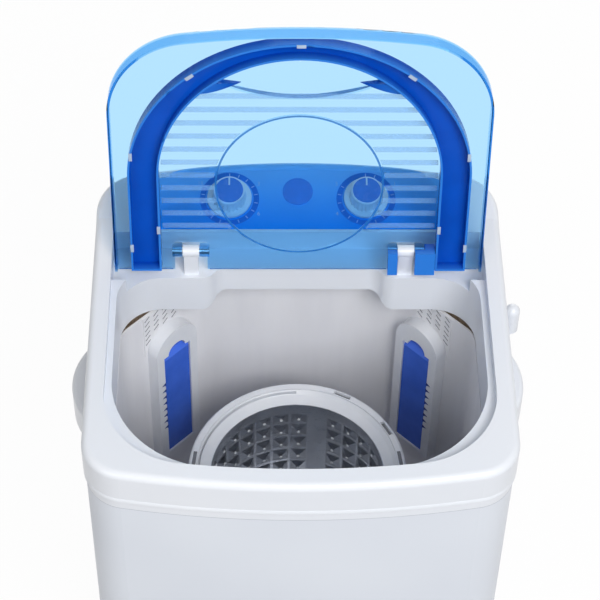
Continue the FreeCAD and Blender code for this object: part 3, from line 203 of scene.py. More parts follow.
def brushedMetal(name, look):
    material, tree = newMaterial(name)
    place = put(tree, "ShaderNodeTexCoord").outputs["Object"]
    drawn = put(tree, "ShaderNodeMapping", {"Vector": place, "Scale": look["stretch"]}).outputs["Vector"]
    lines = {"Vector": drawn, "Scale": 1 / (look["line"] * mm), "Detail": metalGrain["detail"]}
    grain = put(tree, "ShaderNodeTexNoise", lines).outputs["Fac"]
    patches = {"Vector": place, "Scale": 1 / (look["patch"] * mm), "Detail": metalGrain["cloudDetail"]}
    cloud = put(tree, "ShaderNodeTexNoise", patches).outputs["Fac"]
    rough = put(tree, "ShaderNodeMapRange", {"Value": grain, **roughEnds(look)}, **softEnds)
    bump = put(tree, "ShaderNodeBump", {"Height": grain, "Strength": look["bump"],
                                        "Distance": metalGrain["depth"] * mm})
    shader = put(tree, "ShaderNodeBsdfPrincipled", {
        "Base Color": cloudyColour(tree, cloud, look), "Metallic": 1.0,
        "Roughness": rough.outputs["Result"], "Normal": bump.outputs["Normal"]})
    put(tree, "ShaderNodeOutputMaterial", {"Surface": shader.outputs[0]})
    return material


metalLooks = {
    # rolled sheet of the drum, its grain running round
    "pressedStainless": dict(colour="#C2C5CB", shade="#B4B7BE", patch=30, line=0.4, stretch=(0.05, 0.05, 1),
                             rough=(0.25, 0.39), bump=0.25),
    # turned steel of pins, screws and shafts: bright, with fine lines
    "brightSteel": dict(colour="#BFC2C6", shade="#B0B3B8", patch=8, line=0.3, stretch=(0.05, 1, 1),
                        rough=(0.22, 0.36), bump=0.2),
    # zinc-coated sheet: grey and softly mottled
    "zincPlate": dict(colour="#9DA1A6", shade="#8C9096", patch=15, line=0.8, stretch=(1, 1, 1),
                      rough=(0.3, 0.45), bump=0.2),
    # cast aluminium with a coarse skin
    "castAlloy": dict(colour="#A7AAAE", shade="#979A9F", patch=10, line=1.0, stretch=(1, 1, 1),
                      rough=(0.42, 0.58), bump=0.5),
}
metals = {name: brushedMetal(name, look) for name, look in metalLooks.items()}
print("metals:", len(metals))


# Clear blue SAN lid: polished, tinted through its thickness, so the deep edges look darker
lidLook = dict(skin="#CFE9FB", tint="#80D4F4", density=190.0, rough=0.02, ior=1.07, flow=45.0, detail=1.0,
               bump=0.04, depth=0.4)


def clearBlueSan(look):
    material, tree = newMaterial("clearBlueSan")
    place = put(tree, "ShaderNodeTexCoord").outputs["Object"]
    flow = put(tree, "ShaderNodeTexNoise", {"Vector": place, "Scale": 1 / (look["flow"] * mm),
                                            "Detail": look["detail"]}).outputs["Fac"]
    bump = put(tree, "ShaderNodeBump", {"Height": flow, "Strength": look["bump"],
                                        "Distance": look["depth"] * mm})
    shader = put(tree, "ShaderNodeBsdfPrincipled", {
        "Base Color": linear(look["skin"]), "Roughness": look["rough"], "IOR": look["ior"],
        "Transmission Weight": 1.0, "Normal": bump.outputs["Normal"]})
    through = put(tree, "ShaderNodeVolumeAbsorption", {"Color": linear(look["tint"]),
                                                       "Density": look["density"]})
    put(tree, "ShaderNodeOutputMaterial", {"Surface": shader.outputs[0], "Volume": through.outputs[0]})
    return material


clearLid = clearBlueSan(lidLook)


# Frosted bands in the lid: spark-eroded stripes that scatter, mostly see-through; their grit is drawn
# coarser than real so that it shows
frostLook = dict(colour="#86BEF6", shade="#7DB5EF", grit=0.9, detail=2.0, rough=0.55, ior=1.5, alpha=0.3,
                 bump=0.4, depth=0.05)


def frostedBand(look):
    material, tree = newMaterial("frostedBand")
    place = put(tree, "ShaderNodeTexCoord").outputs["Object"]
    grit = put(tree, "ShaderNodeTexNoise", {"Vector": place, "Scale": 1 / (look["grit"] * mm),
                                            "Detail": look["detail"]}).outputs["Fac"]
    bump = put(tree, "ShaderNodeBump", {"Height": grit, "Strength": look["bump"],
                                        "Distance": look["depth"] * mm})
    shader = put(tree, "ShaderNodeBsdfPrincipled", {
        "Base Color": cloudyColour(tree, grit, look), "Roughness": look["rough"], "IOR": look["ior"],
        "Alpha": look["alpha"], "Normal": bump.outputs["Normal"]})
    put(tree, "ShaderNodeOutputMaterial", {"Surface": shader.outputs[0]})
    return material


# Printed polycarbonate panel: pale blue at the back, strong blue at the front, under a gloss film; the
# print's dots are drawn coarser than real so that they show
panelLook = dict(back="#8CCAFC", front="#0A9AF6", slopeLow=536.5, slopeHigh=556.0, dots=0.6, detail=1.0,
                 rough=(0.16, 0.22), ior=1.25, bump=0.05, depth=0.05)


def printedPanel(look):
    material, tree = newMaterial("printedPolycarbonate")
    place = put(tree, "ShaderNodeTexCoord").outputs["Object"]
    height = put(tree, "ShaderNodeSeparateXYZ", {"Vector": place}).outputs["Z"]
    ends = {"From Min": look["slopeLow"] * mm, "From Max": look["slopeHigh"] * mm}
    fade = put(tree, "ShaderNodeMapRange", {"Value": height, **ends}).outputs["Result"]
    colour = put(tree, "ShaderNodeMix", {0: fade, 6: linear(look["front"]), 7: linear(look["back"])},
                 data_type="RGBA").outputs[2]
    dots = put(tree, "ShaderNodeTexNoise", {"Vector": place, "Scale": 1 / (look["dots"] * mm),
                                            "Detail": look["detail"]}).outputs["Fac"]
    rough = put(tree, "ShaderNodeMapRange", {"Value": dots, **roughEnds(look)}, **softEnds)
    bump = put(tree, "ShaderNodeBump", {"Height": dots, "Strength": look["bump"],
                                        "Distance": look["depth"] * mm})
    shader = put(tree, "ShaderNodeBsdfPrincipled", {
        "Base Color": colour, "Roughness": rough.outputs["Result"], "IOR": look["ior"],
        "Normal": bump.outputs["Normal"]})
    put(tree, "ShaderNodeOutputMaterial", {"Surface": shader.outputs[0]})
    return material


panelFilm = printedPanel(panelLook)

# Which CAD nodes take which material
finishes = {
    plastics["glossAbsWhite"]: ["top_deck", "left_side_handle", "right_side_handle", "hose_peg",
                                "hinge_posts", "wash_knob", "spin_knob"],
    plastics["satinAbsWhite"]: ["cabinet"],
    plastics["milkyPolypropylene"]: ["wash_tub", "left_overflow_grille", "right_overflow_grille"],
    plastics["whitePolypropylene"]: ["left_filter_frame", "right_filter_frame", "basket_ring",
                                     "run_capacitor"],
    plastics["bluePolypropylene"]: ["left_filter_board", "right_filter_board", "pulsator"],
    plastics["deepBlueAbs"]: ["lid_arch", "lid_cam"],
    plastics["badgeAbs"]: ["panel_badge"],
    plastics["greyPolypropylene"]: ["base_tray", "back_cover"],
    plastics["drainPolypropylene"]: ["drain_pipe"],
    plastics["blackNylon"]: ["cord_gland", "lid_switch", "capacitor_clip", "bearing_housing", "wash_timer",
                             "spin_timer"],
    plastics["blackRubber"]: ["base_feet", "shaft_seal", "motor_bushes", "drain_grommet", "drive_belt"],
    plastics["brownFoam"]: ["tub_gasket"],
    metals["pressedStainless"]: ["basket_drum", "basket_base"],
    metals["brightSteel"]: ["hinge_pins", "back_cover_screws", "drive_plate_screws", "pulsator_screw",
                            "main_shaft", "motor_shaft", "wash_timer_shaft", "spin_timer_shaft"],
    metals["zincPlate"]: ["drive_plate"],
    metals["castAlloy"]: ["motor_body", "driven_pulley", "motor_pulley"],
    clearLid: ["lid_panel"],
    panelFilm: ["control_panel"],
}
for finish, names in finishes.items():
    for name in names:
        for slot in nodes[name].material_slots:
            slot.material = finish
bare = set(nodes) - {name for names in finishes.values() for name in names}
print("finishes set, nodes left bare:", sorted(bare))


def addObject(name, data):
    thing = bpy.data.objects.new(name, data)
    bpy.context.scene.collection.objects.link(thing)
    return thing


# Meshes from arrays of corners and faces; parts are (corners, faces) pairs put into one piece
def makePiece(name, parts, material, body, smooth=False):
    counts = np.cumsum([0] + [len(corners) for corners, _ in parts])
    corners = np.vstack([c for c, _ in parts])
    faces = [(f + start).tolist() for (_, f), start in zip(parts, counts)]
    mesh = bpy.data.meshes.new(name)
    mesh.from_pydata(corners.tolist(), [], [face for group in faces for face in group])
    shell = bmesh.new()
    shell.from_mesh(mesh)
    bmesh.ops.remove_doubles(shell, verts=shell.verts, dist=weld)
    bmesh.ops.recalc_face_normals(shell, faces=shell.faces)
    shell.to_mesh(mesh)
    shell.free()
    mesh.polygons.foreach_set("use_smooth", np.full(len(mesh.polygons), smooth))
    mesh.materials.append(material)
    piece = addObject(name, mesh)
    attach(piece, body)
    return piece


# A sheet given as a grid of corners (rows, columns, 3), with a second skin at lift and a wall round its rim
def closedSheet(grid, lift):
    rows, columns = grid.shape[:2]
    low = grid.reshape(-1, 3)
    index = np.arange(rows * columns).reshape(rows, columns)
    skin = np.stack([index[:-1, :-1], index[:-1, 1:], index[1:, 1:], index[1:, :-1]], -1).reshape(-1, 4)
    rim = np.concatenate([index[0], index[1:, -1], index[-1, -2::-1], index[-2:0:-1, 0]])
    wall = np.stack([rim, np.roll(rim, -1), np.roll(rim, -1) + len(low), rim + len(low)], -1)
    return np.vstack([low, low + lift]), np.vstack([skin[:, ::-1], skin + len(low), wall])


# Faces of a closed profile carried round a closed path: a grid whose rows and columns both join up
def wrapped(rows, columns):
    index = np.arange(rows * columns).reshape(rows, columns)
    right = np.roll(index, -1, 0)
    return np.stack([index, right, np.roll(right, -1, 1), np.roll(index, -1, 1)], -1).reshape(-1, 4)


# A closed profile of (radius, height) pairs turned about an axis: centre + r(cos a, sin a) + h axis
def turned(profile, place, segments):
    profile = np.array(profile)
    angle = np.linspace(0, 2 * math.pi, segments, endpoint=False)
    r, h = profile[:, 0], profile[:, 1]
    u = np.outer(np.cos(angle), r)
    v = np.outer(np.sin(angle), r)
    w = np.outer(np.ones(segments), h)
    return place(u, v, w).reshape(-1, 3), wrapped(segments, len(profile))


# Places on the open lid: x across, t from its back edge, n outwards from the hinge axis, all in mm
lidPlace = dict(pivot=(86.9, 541.0), setback=25.7, innerFace=3.5, archFront=-10.5, filmGap=0.05)


def onLid(x, t, n):
    a = t - lidPlace["setback"]
    y = lidPlace["pivot"][0] + math.sin(lidLean) * a + math.cos(lidLean) * n
    z = lidPlace["pivot"][1] + math.cos(lidLean) * a - math.sin(lidLean) * n
    return np.stack(np.broadcast_arrays(x, y, z), -1) * mm


# Frosted stripes between the lid's disc and the arch's inner edge
bandLook = dict(first=54.4, pitch=15.0, count=11, height=6.0, disc=(102.0, 82.0),
                arch=(120.0, 132.0, 131.5), film=0.12, grid=(5, 24))


def frostBands(look):
    # each stripe runs from the disc's circle to the arch's ellipse, or to its straight leg below the centre
    parts = []
    rows, columns = look["grid"]
    centre, half, rise = look["arch"]
    share = np.linspace(0, 1, columns)[None, :]
    for i in range(look["count"]):
        t = look["first"] + i * look["pitch"] + np.linspace(-0.5, 0.5, rows)[:, None] * look["height"]
        outer = half * np.sqrt(np.clip(1 - (np.maximum(t - centre, 0) / rise) ** 2, 0, 1))
        inner = np.sqrt(np.clip(look["disc"][1] ** 2 - (t - look["disc"][0]) ** 2, 0, None))
        for side in (-1, 1):
            x = side * (inner + (outer - inner) * share)
            grid = onLid(x, t, lidPlace["innerFace"] - lidPlace["filmGap"])
            parts.append(closedSheet(grid, -lidOut * look["film"] * mm))
    return makePiece("frost_bands", parts, frostedBand(frostLook), "lid")


frostBands(bandLook)
print("lid bands done")

# The arch's channel drawn a hair off the clear sheet, so that its back still takes light through the lid
archLook = dict(off=0.15)


def archChannel(look):
    shell = bmesh.new()
    shell.from_mesh(nodes["lid_arch"].data)
    bmesh.ops.remove_doubles(shell, verts=shell.verts, dist=weld)
    bmesh.ops.translate(shell, verts=shell.verts, vec=Vector(-lidOut * look["off"] * mm))
    mesh = bpy.data.meshes.new("arch_channel")
    shell.to_mesh(mesh)
    shell.free()
    mesh.materials.clear()
    mesh.materials.append(plastics["deepBlueAbs"])
    piece = addObject("arch_channel", mesh)
    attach(piece, "lid")
    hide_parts("lid_arch")


archChannel(archLook)

# Clips along the arch: small plates bowed a little, at an angle round the arch or on its straight legs
clipLook = dict(centre=120.0, outer=(163.0, 149.0), innerHalf=133.5, turns=(50.8, 90.0, 129.2),
                outerLegs=(37.0, 145.0), innerLegs=(59.0,), length=8.5, width=3.2, setIn=1.6, thick=0.8,
                bow=0.25, gap=0.02, grid=(5, 4))


def archClip(x, t, angle, look):
    # plate in the arch's plane: s along the wall, c across it, both turned by angle; its bow falls off with
    # the square of s
    rows, columns = look["grid"]
    s = np.linspace(-0.5, 0.5, rows)[:, None] * look["length"]
    c = np.linspace(-0.5, 0.5, columns)[None, :] * look["width"]
    bow = look["bow"] * (1 - (2 * s / look["length"]) ** 2)
    a = math.radians(angle)
    grid = onLid(x + c * math.cos(a) - s * math.sin(a), t + c * math.sin(a) + s * math.cos(a),
                 lidPlace["archFront"] - look["gap"] - bow)
    return closedSheet(grid, -lidOut * look["thick"] * mm)


def archClips(look):
    # places on an ellipse set in from the arch's wall, each turned to the wall's normal, and on its legs
    parts = []
    a, b = look["outer"]
    setIn = look["setIn"]
    for turn in look["turns"]:
        r = math.radians(turn)
        normal = math.degrees(math.atan2(math.sin(r) / b, math.cos(r) / a))
        x = (a - setIn) * math.cos(r)
        parts.append(archClip(x, look["centre"] + (b - setIn) * math.sin(r), normal, look))
    for side in (-1, 1):
        for t in look["outerLegs"]:
            shift = max(t - look["centre"], 0) / b
            x = (a - setIn) * math.sqrt(1 - shift ** 2)
            parts.append(archClip(side * x, t, 0 if side > 0 else 180, look))
        for t in look["innerLegs"]:
            parts.append(archClip(side * (look["innerHalf"] + setIn), t, 0, look))
    return makePiece("arch_clips", parts, plastics["clipSan"], "lid")


archClips(clipLook)

# Claws between the arch and the tips of the finger bulge: wedges rooted on the ellipse of the arch's inner
# wall. With s from root to tip their depth is (1 - s) to the power fade, times a cosine of s that hooks the
# lower edge upwards; their rise off the lid falls from rise to tipRise with s squared.
clawLook = dict(arch=(120.0, 133.5, 132.5), seat=1.0, tip=55.0, top=225.0, drop=4.5, depth=13.0, low=3.4,
                rise=9.5, tipRise=1.2, fade=0.8, swell=0.45, wave=2.4, start=0.25, grid=(17, 5))


def bulgeClaws(look):
    parts = []
    rows, columns = look["grid"]
    s = np.linspace(0, 1, rows)[:, None]
    share = np.linspace(0, 1, columns)[None, :]
    top = look["top"] - look["drop"] * s
    hook = 1 - look["swell"] + look["swell"] * np.cos(look["wave"] * (s - look["start"]))
    bottom = top - look["depth"] * (1 - s) ** look["fade"] * hook
    t = bottom + (top - bottom) * share
    centre, half, height = look["arch"]
    root = half * np.sqrt(1 - ((t - centre) / height) ** 2) + look["seat"]
    for side in (-1, 1):
        x = side * (root + (look["tip"] - root) * s)
        rise = np.broadcast_to(look["rise"] + (look["tipRise"] - look["rise"]) * s ** 2, x.shape)
        parts.append(closedSheet(onLid(x, t, look["low"]), -rise.reshape(-1, 1) * lidOut * mm))
    return makePiece("bulge_claws", parts, plastics["deepBlueAbs"], "lid")


bulgeClaws(clawLook)
print("clips and claws done")

# Painted light on the clear lid: thin blue lines drawn along the steps of the sheet and its cut edges, where
# light gathers and bends
refractionLineLook = dict(colour="#2F86DA", shade="#2579CE", flow=14.0, detail=1.0, rough=(0.12, 0.2), ior=1.3,
                alpha=0.6)


def tintedEdge(look):
    material, tree = newMaterial("paintedRefractionSan")
    place = put(tree, "ShaderNodeTexCoord").outputs["Object"]
    flow = put(tree, "ShaderNodeTexNoise", {"Vector": place, "Scale": 1 / (look["flow"] * mm),
                                            "Detail": look["detail"]}).outputs["Fac"]
    rough = put(tree, "ShaderNodeMapRange", {"Value": flow, **roughEnds(look)}, **softEnds)
    shader = put(tree, "ShaderNodeBsdfPrincipled", {
        "Base Color": cloudyColour(tree, flow, look), "Roughness": rough.outputs["Result"],
        "IOR": look["ior"], "Alpha": look["alpha"]})
    put(tree, "ShaderNodeOutputMaterial", {"Surface": shader.outputs[0]})
    return material


edgeLook = dict(disc=(102.0, 80.0), line=1.9, film=0.12, bulge=(71.0, 202.2, 218.0), bulgeDepth=6.5,
                bulgeGrid=(4, 49), backEdge=((-176, -123), (-87, 87), (133, 176)), backLine=(0.2, 1.3),
                backGrid=(3, 9), segments=120)


def lidEdges(look):
    t, r = look["disc"]
    n = lidPlace["innerFace"] - lidPlace["filmGap"]
    under = n - look["film"]
    inner, outer = r - look["line"] / 2, r + look["line"] / 2
    ring = [(inner, n), (outer, n), (outer, under), (inner, under)]
    parts = [turned(ring, lambda u, v, w: onLid(u, t + v, w), look["segments"])]
    # the bulge's near wall: an arc t = low + (tip - low)(x / half) squared, drawn out to its depth, which
    # falls to nothing at both tips with the fourth power of x / half
    half, low, tip = look["bulge"]
    rows, columns = look["bulgeGrid"]
    x = np.linspace(-half, half, columns)[None, :]
    out = np.linspace(0, look["bulgeDepth"], rows)[:, None] * (1 - (x / half) ** 4)
    rise = onLid(0, look["film"], 0) - onLid(0, 0, 0)
    wall = onLid(x, low + (tip - low) * (x / half) ** 2, lidPlace["innerFace"] + out)
    parts.append(closedSheet(wall, rise))
    rows, columns = look["backGrid"]
    up = np.linspace(*look["backLine"], rows)[:, None]
    for start, end in look["backEdge"]:
        x = np.linspace(start, end, columns)[None, :]
        parts.append(closedSheet(onLid(x, up, n), -lidOut * look["film"] * mm))
    # these lines are painted light on the clear lid's steps and edges
    return makePiece("lid_edge_lines", parts, tintedEdge(refractionLineLook), "lid")


lidEdges(edgeLook)
print("lid edges done")

# Places on the tub's flat back corners: x along the wall, d out of it, z up, mirrored for the right side
cornerPlace = dict(middle=(-132.727, 90.273))


def onCorner(side, x, d, z):
    across = cornerPlace["middle"][0] + (x + d) / math.sqrt(2)
    back = cornerPlace["middle"][1] + (x - d) / math.sqrt(2)
    return np.stack(np.broadcast_arrays(-side * across, back, z), -1) * mm


def sideName(side):
    return "left" if side < 0 else "right"


# Saw teeth on the lint boards: wedges that stand in the frame's notches, their darker blue painted shade
toothLook = dict(count=8, first=278.0, pitch=10.3, notch=6.0, root=17.0, tip=23.4, low=4.8, high=13.5,
                 margin=0.6)


def boardTeeth(side, look):
    # a tooth is a triangle of root, tip, root in x and z, drawn out from low to high off the wall
    z = look["first"] + look["pitch"] * np.arange(look["count"])[:, None, None]
    x = -np.array([look["root"], look["tip"], look["root"]])[None, :, None]
    d = np.array([look["low"], look["high"]])[None, None, :]
    up = np.array([look["margin"], look["notch"] / 2, look["notch"] - look["margin"]])[None, :, None]
    corners = onCorner(side, x, d, z + up).reshape(-1, 3)
    index = np.arange(len(corners)).reshape(-1, 3, 2)
    after = np.roll(index, -1, 1)
    walls = np.stack([index[..., 0], after[..., 0], after[..., 1], index[..., 1]], -1).reshape(-1, 4)
    ends = np.concatenate([index[..., 0], index[..., 1]])
    name = sideName(side)
    # the teeth take the darker blue that is painted shade
    return makePiece(name + "_board_teeth", [(corners, walls), (corners, ends)],
                     plastics["toothShadePolypropylene"], name + "_filter")


# Shaded slits of the overflow grilles: strips let into every second slot, rising at an angle, and one
# column more than the plate has
slitLook = dict(columns=(9.0, -3.0, -15.0, -27.0), top=459.7, first=4.32, pitch=7.2, arch=400.0,
                reach=31.0, tilt=35.0, length=7.7, width=1.15, depth=(0.05, 1.24), grid=(2, 3))


def grilleSlits(side, look):
    # each column starts at the top and stops short of the filter frame's round arch
    parts = []
    a = math.radians(look["tilt"])
    rows, columns = look["grid"]
    s = np.linspace(-0.5, 0.5, columns)[None, :] * look["length"]
    c = np.linspace(-0.5, 0.5, rows)[:, None] * look["width"]
    low, high = look["depth"]
    lift = onCorner(side, 0, high, 0) - onCorner(side, 0, low, 0)
    for x in look["columns"]:
        bottom = look["arch"] + math.sqrt(look["reach"] ** 2 - x * x)
        for i in range(int((look["top"] - bottom) / look["pitch"])):
            z = look["top"] - look["first"] - i * look["pitch"]
            grid = onCorner(side, x + s * math.cos(a) - c * math.sin(a), low,
                            z + s * math.sin(a) + c * math.cos(a))
            parts.append(closedSheet(grid, lift))
    return makePiece(sideName(side) + "_grille_slits", parts, plastics["slitShade"], "machine")


for side in (-1, 1):
    boardTeeth(side, toothLook)
    grilleSlits(side, slitLook)
print("filter teeth and grille slits done")


def meshCorners(mesh):
    flat = np.zeros(len(mesh.vertices) * 3)
    mesh.vertices.foreach_get("co", flat)
    return flat.reshape(-1, 3)


# Strips round the body: a closed profile of (out, height) pairs in mm swept along a CAD piece's level edge
edgeFind = dict(directions=1440, reach=0.01)


def levelEdge(name, level):
    # the outermost corners at that level in order round the body: the farthest one in each direction
    corners = meshCorners(nodes[name].data) / mm
    ring = np.unique(corners[np.abs(corners[:, 2] - level) < edgeFind["reach"]][:, :2].round(3), axis=0)
    turn = np.linspace(0, 2 * math.pi, edgeFind["directions"], endpoint=False)
    far = np.argmax(ring @ np.stack([np.cos(turn), np.sin(turn)]), axis=0)
    return ring[far[far != np.roll(far, 1)]]


def bodyStrip(edge, profile):
    # corner = edge point + out times the mean normal of its two sides, at the profile's height
    along = np.roll(edge, -1, 0) - edge
    along = along / np.linalg.norm(along, axis=1)[:, None]
    normal = np.stack([along[:, 1], -along[:, 0]], -1)
    normal = normal + np.roll(normal, 1, 0)
    normal = normal / np.linalg.norm(normal, axis=1)[:, None]
    out, high = np.array(profile).T
    plan = edge[:, None, :] + normal[:, None, :] * out[None, :, None]
    level = np.broadcast_to(high[None, :, None], (len(edge), len(profile), 1))
    corners = np.concatenate([plan, level], -1).reshape(-1, 3) * mm
    return corners, wrapped(len(edge), len(profile))


# A bead under the deck's band, half an ellipse taller above its crest than below, and the seam on the cabinet
beadLook = dict(level=504.0, crest=498.0, above=5.8, below=2.2, depth=2.6, inside=0.02, steps=19)
seamLook = dict(level=486.5, low=485.7, high=486.6, proud=0.06, root=1.0)


def deckBead(look):
    a = np.radians(np.linspace(-90, 90, look["steps"]))
    out = look["depth"] * (np.cos(a) - 1) - look["inside"]
    high = look["crest"] + np.where(a > 0, look["above"], look["below"]) * np.sin(a)
    strip = bodyStrip(levelEdge("top_deck", look["level"]), np.stack([out, high], -1))
    return makePiece("deck_bead", [strip], plastics["glossAbsWhite"], "machine", True)


def deckSeam(look):
    # a rectangle swept round the edge, a hair proud of the cabinet
    profile = [(-look["root"], look["low"]), (look["proud"], look["low"]), (look["proud"], look["high"]),
               (-look["root"], look["high"])]
    strip = bodyStrip(levelEdge("cabinet", look["level"]), profile)
    return makePiece("deck_seam", [strip], plastics["seamShade"], "machine")


deckBead(beadLook)
deckSeam(seamLook)
print("bead and seam done")

# Places on the console slope: x across, v up the slope from the well, w off the surface, in mm
slopePlace = dict(start=(116.491, 536.0), angle=15.5, dials=dict(wash=-68.0, spin=68.0), dialUp=37.0)


def onSlope(x, v, w):
    lean = math.radians(slopePlace["angle"])
    y = slopePlace["start"][0] + v * math.cos(lean) - w * math.sin(lean)
    z = slopePlace["start"][1] + v * math.sin(lean) + w * math.cos(lean)
    return np.stack(np.broadcast_arrays(x, y, z), -1) * mm


# Dial scales: a printed ring with ticks on it and plain numbers round it, each a layer of ink
scaleLook = dict(ring=(24.0, 29.5), ink=0.12, tickRing=(25.0, 28.4), tickHalf=0.45, ticks=16, sweep=300.0,
                 tickRows=3, numberRadius=33.5, numberSize=6.0, segments=96,
                 numbers=dict(wash=(0, 3, 6, 9, 12, 15), spin=(0, 1, 2, 3, 4, 5)))


def dialPlace(x):
    # places about a dial's axis on the slope
    return lambda u, v, w: onSlope(x + u, slopePlace["dialUp"] + v, w)


def ringBand(x, look):
    # a flat rectangle turned about the dial's axis
    inner, outer = look["ring"]
    profile = [(inner, 0.0), (outer, 0.0), (outer, look["ink"]), (inner, look["ink"])]
    return turned(profile, dialPlace(x), look["segments"])


def tickSheet(x, angle, look):
    # a strip along the radius at an angle from the top, as wide on either side of it
    radius = np.linspace(*look["tickRing"], look["tickRows"])[:, None]
    side = np.array([-1, 1])[None, :] * look["tickHalf"]
    a = math.radians(angle)
    u = radius * math.sin(a) + side * math.cos(a)
    v = radius * math.cos(a) - side * math.sin(a)
    grid = onSlope(x + u, slopePlace["dialUp"] + v, look["ink"])
    lift = onSlope(0, 0, look["ink"]) - onSlope(0, 0, 0)
    return closedSheet(grid, lift)


def numberMesh(number, look):
    # a number cut from a text curve, centred on the origin
    text = bpy.data.curves.new("number", "FONT")
    text.body = str(number)
    text.size = look["numberSize"]
    text.align_x = "CENTER"
    text.align_y = "CENTER"
    text.extrude = look["ink"] / 2
    maker = addObject("number", text)
    mesh = bpy.data.meshes.new_from_object(maker.evaluated_get(bpy.context.evaluated_depsgraph_get()))
    bpy.data.objects.remove(maker)
    return mesh


def dialScale(name, x, look):
    # ticks at even steps of the sweep, numbers at even steps on a wider circle
    numbers = look["numbers"][name]
    makePiece(name + "_scale_ring", [ringBand(x, look)], plastics["scaleInk"], "machine")
    angles = np.linspace(0, look["sweep"], look["ticks"])
    makePiece(name + "_scale_ticks", [tickSheet(x, a, look) for a in angles], plastics["markInk"], "machine")
    for i, number in enumerate(numbers):
        a = math.radians(look["sweep"] * i / (len(numbers) - 1))
        mesh = numberMesh(number, look)
        flat = meshCorners(mesh)
        u = x + look["numberRadius"] * math.sin(a) + flat[:, 0]
        v = slopePlace["dialUp"] + look["numberRadius"] * math.cos(a) + flat[:, 1]
        mesh.vertices.foreach_set("co", onSlope(u, v, flat[:, 2] + look["ink"] / 2).ravel())
        mesh.update()
        mesh.materials.append(plastics["markInk"])
        piece = addObject("%s_number_%d" % (name, i), mesh)
        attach(piece, "machine")


for name, x in slopePlace["dials"].items():
    dialScale(name, x, scaleLook)

# The printed sheet turned over the console's rounded back edge: a flat run up the slope, then an arc of the
# edge's radius, about a line set that far under the slope and inside the bowed back wall. The arc's turn
# falls to nothing at both ends with the eighth power of x / half.
hoodLook = dict(half=128.0, rear=195.0, bowRadius=1010.0, edge=6.0, skins=(0.02, 0.25), run=3.6, turn=62.0,
                columns=81, runRows=3, arcRows=12)


def panelHood(look):
    lean = math.radians(slopePlace["angle"])
    x = np.linspace(-look["half"], look["half"], look["columns"])[None, :]
    y = look["rear"] - look["bowRadius"] + np.sqrt(look["bowRadius"] ** 2 - x ** 2) - look["edge"]
    z = slopePlace["start"][1] + (y - slopePlace["start"][0]) * math.tan(lean) - look["edge"] / math.cos(lean)
    run, arc = look["runRows"], look["arcRows"]
    share = np.concatenate([np.zeros(run), np.linspace(0, 1, arc + 1)[1:]])[:, None]
    back = np.concatenate([np.linspace(-look["run"], 0, run), np.zeros(arc)])[:, None]
    a = math.radians(look["turn"]) * share * (1 - (x / look["half"]) ** 8) - lean
    skins = []
    for film in look["skins"]:
        r = look["edge"] + film
        skins.append(np.stack(np.broadcast_arrays(x, y + r * np.sin(a) + back * math.cos(lean),
                                                  z + r * np.cos(a) + back * math.sin(lean)), -1) * mm)
    faces = closedSheet(skins[0], 0)[1]
    corners = np.vstack([skin.reshape(-1, 3) for skin in skins])
    return makePiece("panel_hood", [(corners, faces)], panelFilm, "machine", True)


panelHood(hoodLook)
print("panel hood done")

# Blue caps let into the tops of the knobs
capLook = dict(radius=13.8, low=18.6, high=18.95, edge=0.25, segments=64)


def knobCap(name, x, look):
    # a disc's section with a cut edge, turned about the dial's axis
    r, low, high, e = look["radius"], look["low"], look["high"], look["edge"]
    profile = [(0, low), (r, low), (r, high - e), (r - e, high), (0, high)]
    cap = turned(profile, dialPlace(x), look["segments"])
    return makePiece(name + "_knob_cap", [cap], plastics["knobCapAbs"], name + "_dial")


for name, x in slopePlace["dials"].items():
    knobCap(name, x, capLook)
print("dials done")

# Places in the basket: u to the right and v to the back of its axis, w up, in mm
basketPlace = dict(axis=-43.0)


def onBasket(u, v, w):
    return np.stack(np.broadcast_arrays(u, v + basketPlace["axis"], w), -1) * mm


# Bright tip holes of the pressed drum: small discs just inside each pyramid's tip
tipLook = dict(radius=91.5, columns=30, rows=5, pitch=21.5, seam=13.8, height=4.0, low=226.75, hole=1.7,
               taper=0.8, proud=0.5, sides=10)


def drumTips(look):
    # each disc faces the axis, at the drum's radius less the pyramids' height and half-way up its row; its
    # front is its back times the taper, and column 0 is left out as the plain seam
    column, row = [a.ravel() for a in np.meshgrid(np.arange(1, look["columns"]), np.arange(look["rows"]))]
    angle = np.radians(look["seam"] + 360 / look["columns"] * column)
    radius = look["radius"] - look["height"]
    level = look["low"] + look["pitch"] * (row + 0.5)
    outward = np.stack([np.sin(angle), np.cos(angle), 0 * angle], -1)
    tangent = np.stack([np.cos(angle), -np.sin(angle), 0 * angle], -1)
    centre = outward * radius + np.stack([0 * angle, 0 * angle, level], -1)
    sides = look["sides"]
    turn = np.linspace(0, 2 * math.pi, sides, endpoint=False)
    ring = (np.cos(turn)[None, :, None] * tangent[:, None, :]
            + np.sin(turn)[None, :, None] * np.array([0, 0, 1.0])) * look["hole"]
    front = centre[:, None, :] + ring * look["taper"] - outward[:, None, :] * look["proud"]
    back = centre[:, None, :] + ring + outward[:, None, :] * look["proud"]
    corners = onBasket(*np.concatenate([front, back], 1).reshape(-1, 3).T)
    index = np.arange(len(corners)).reshape(-1, 2, sides)
    near, far = index[:, 0], index[:, 1]
    wall = np.stack([near, np.roll(near, -1, 1), np.roll(far, -1, 1), far], -1).reshape(-1, 4)
    caps = np.concatenate([near, far[:, ::-1]])
    return [(corners, wall), (corners, caps)]


makePiece("drum_tip_holes", drumTips(tipLook), plastics["tipLight"], "basket")
print("drum tips done")

# The drum's rolled upper edge, a steel collar just inside the ring, and the shade in the ring's slots, with
# one more at either side
collarLook = dict(outer=87.9, sheet=0.5, low=333.6, high=348.9, segments=180)
ringSlotLook = dict(radius=104.5, length=17.6, width=3.6, shade=0.6,
                    seats=((27.0, 354.0), (61.0, 354.0), (95.0, 354.0), (83.0, 357.5), (-83.0, 357.5)),
                    grid=(3, 5))


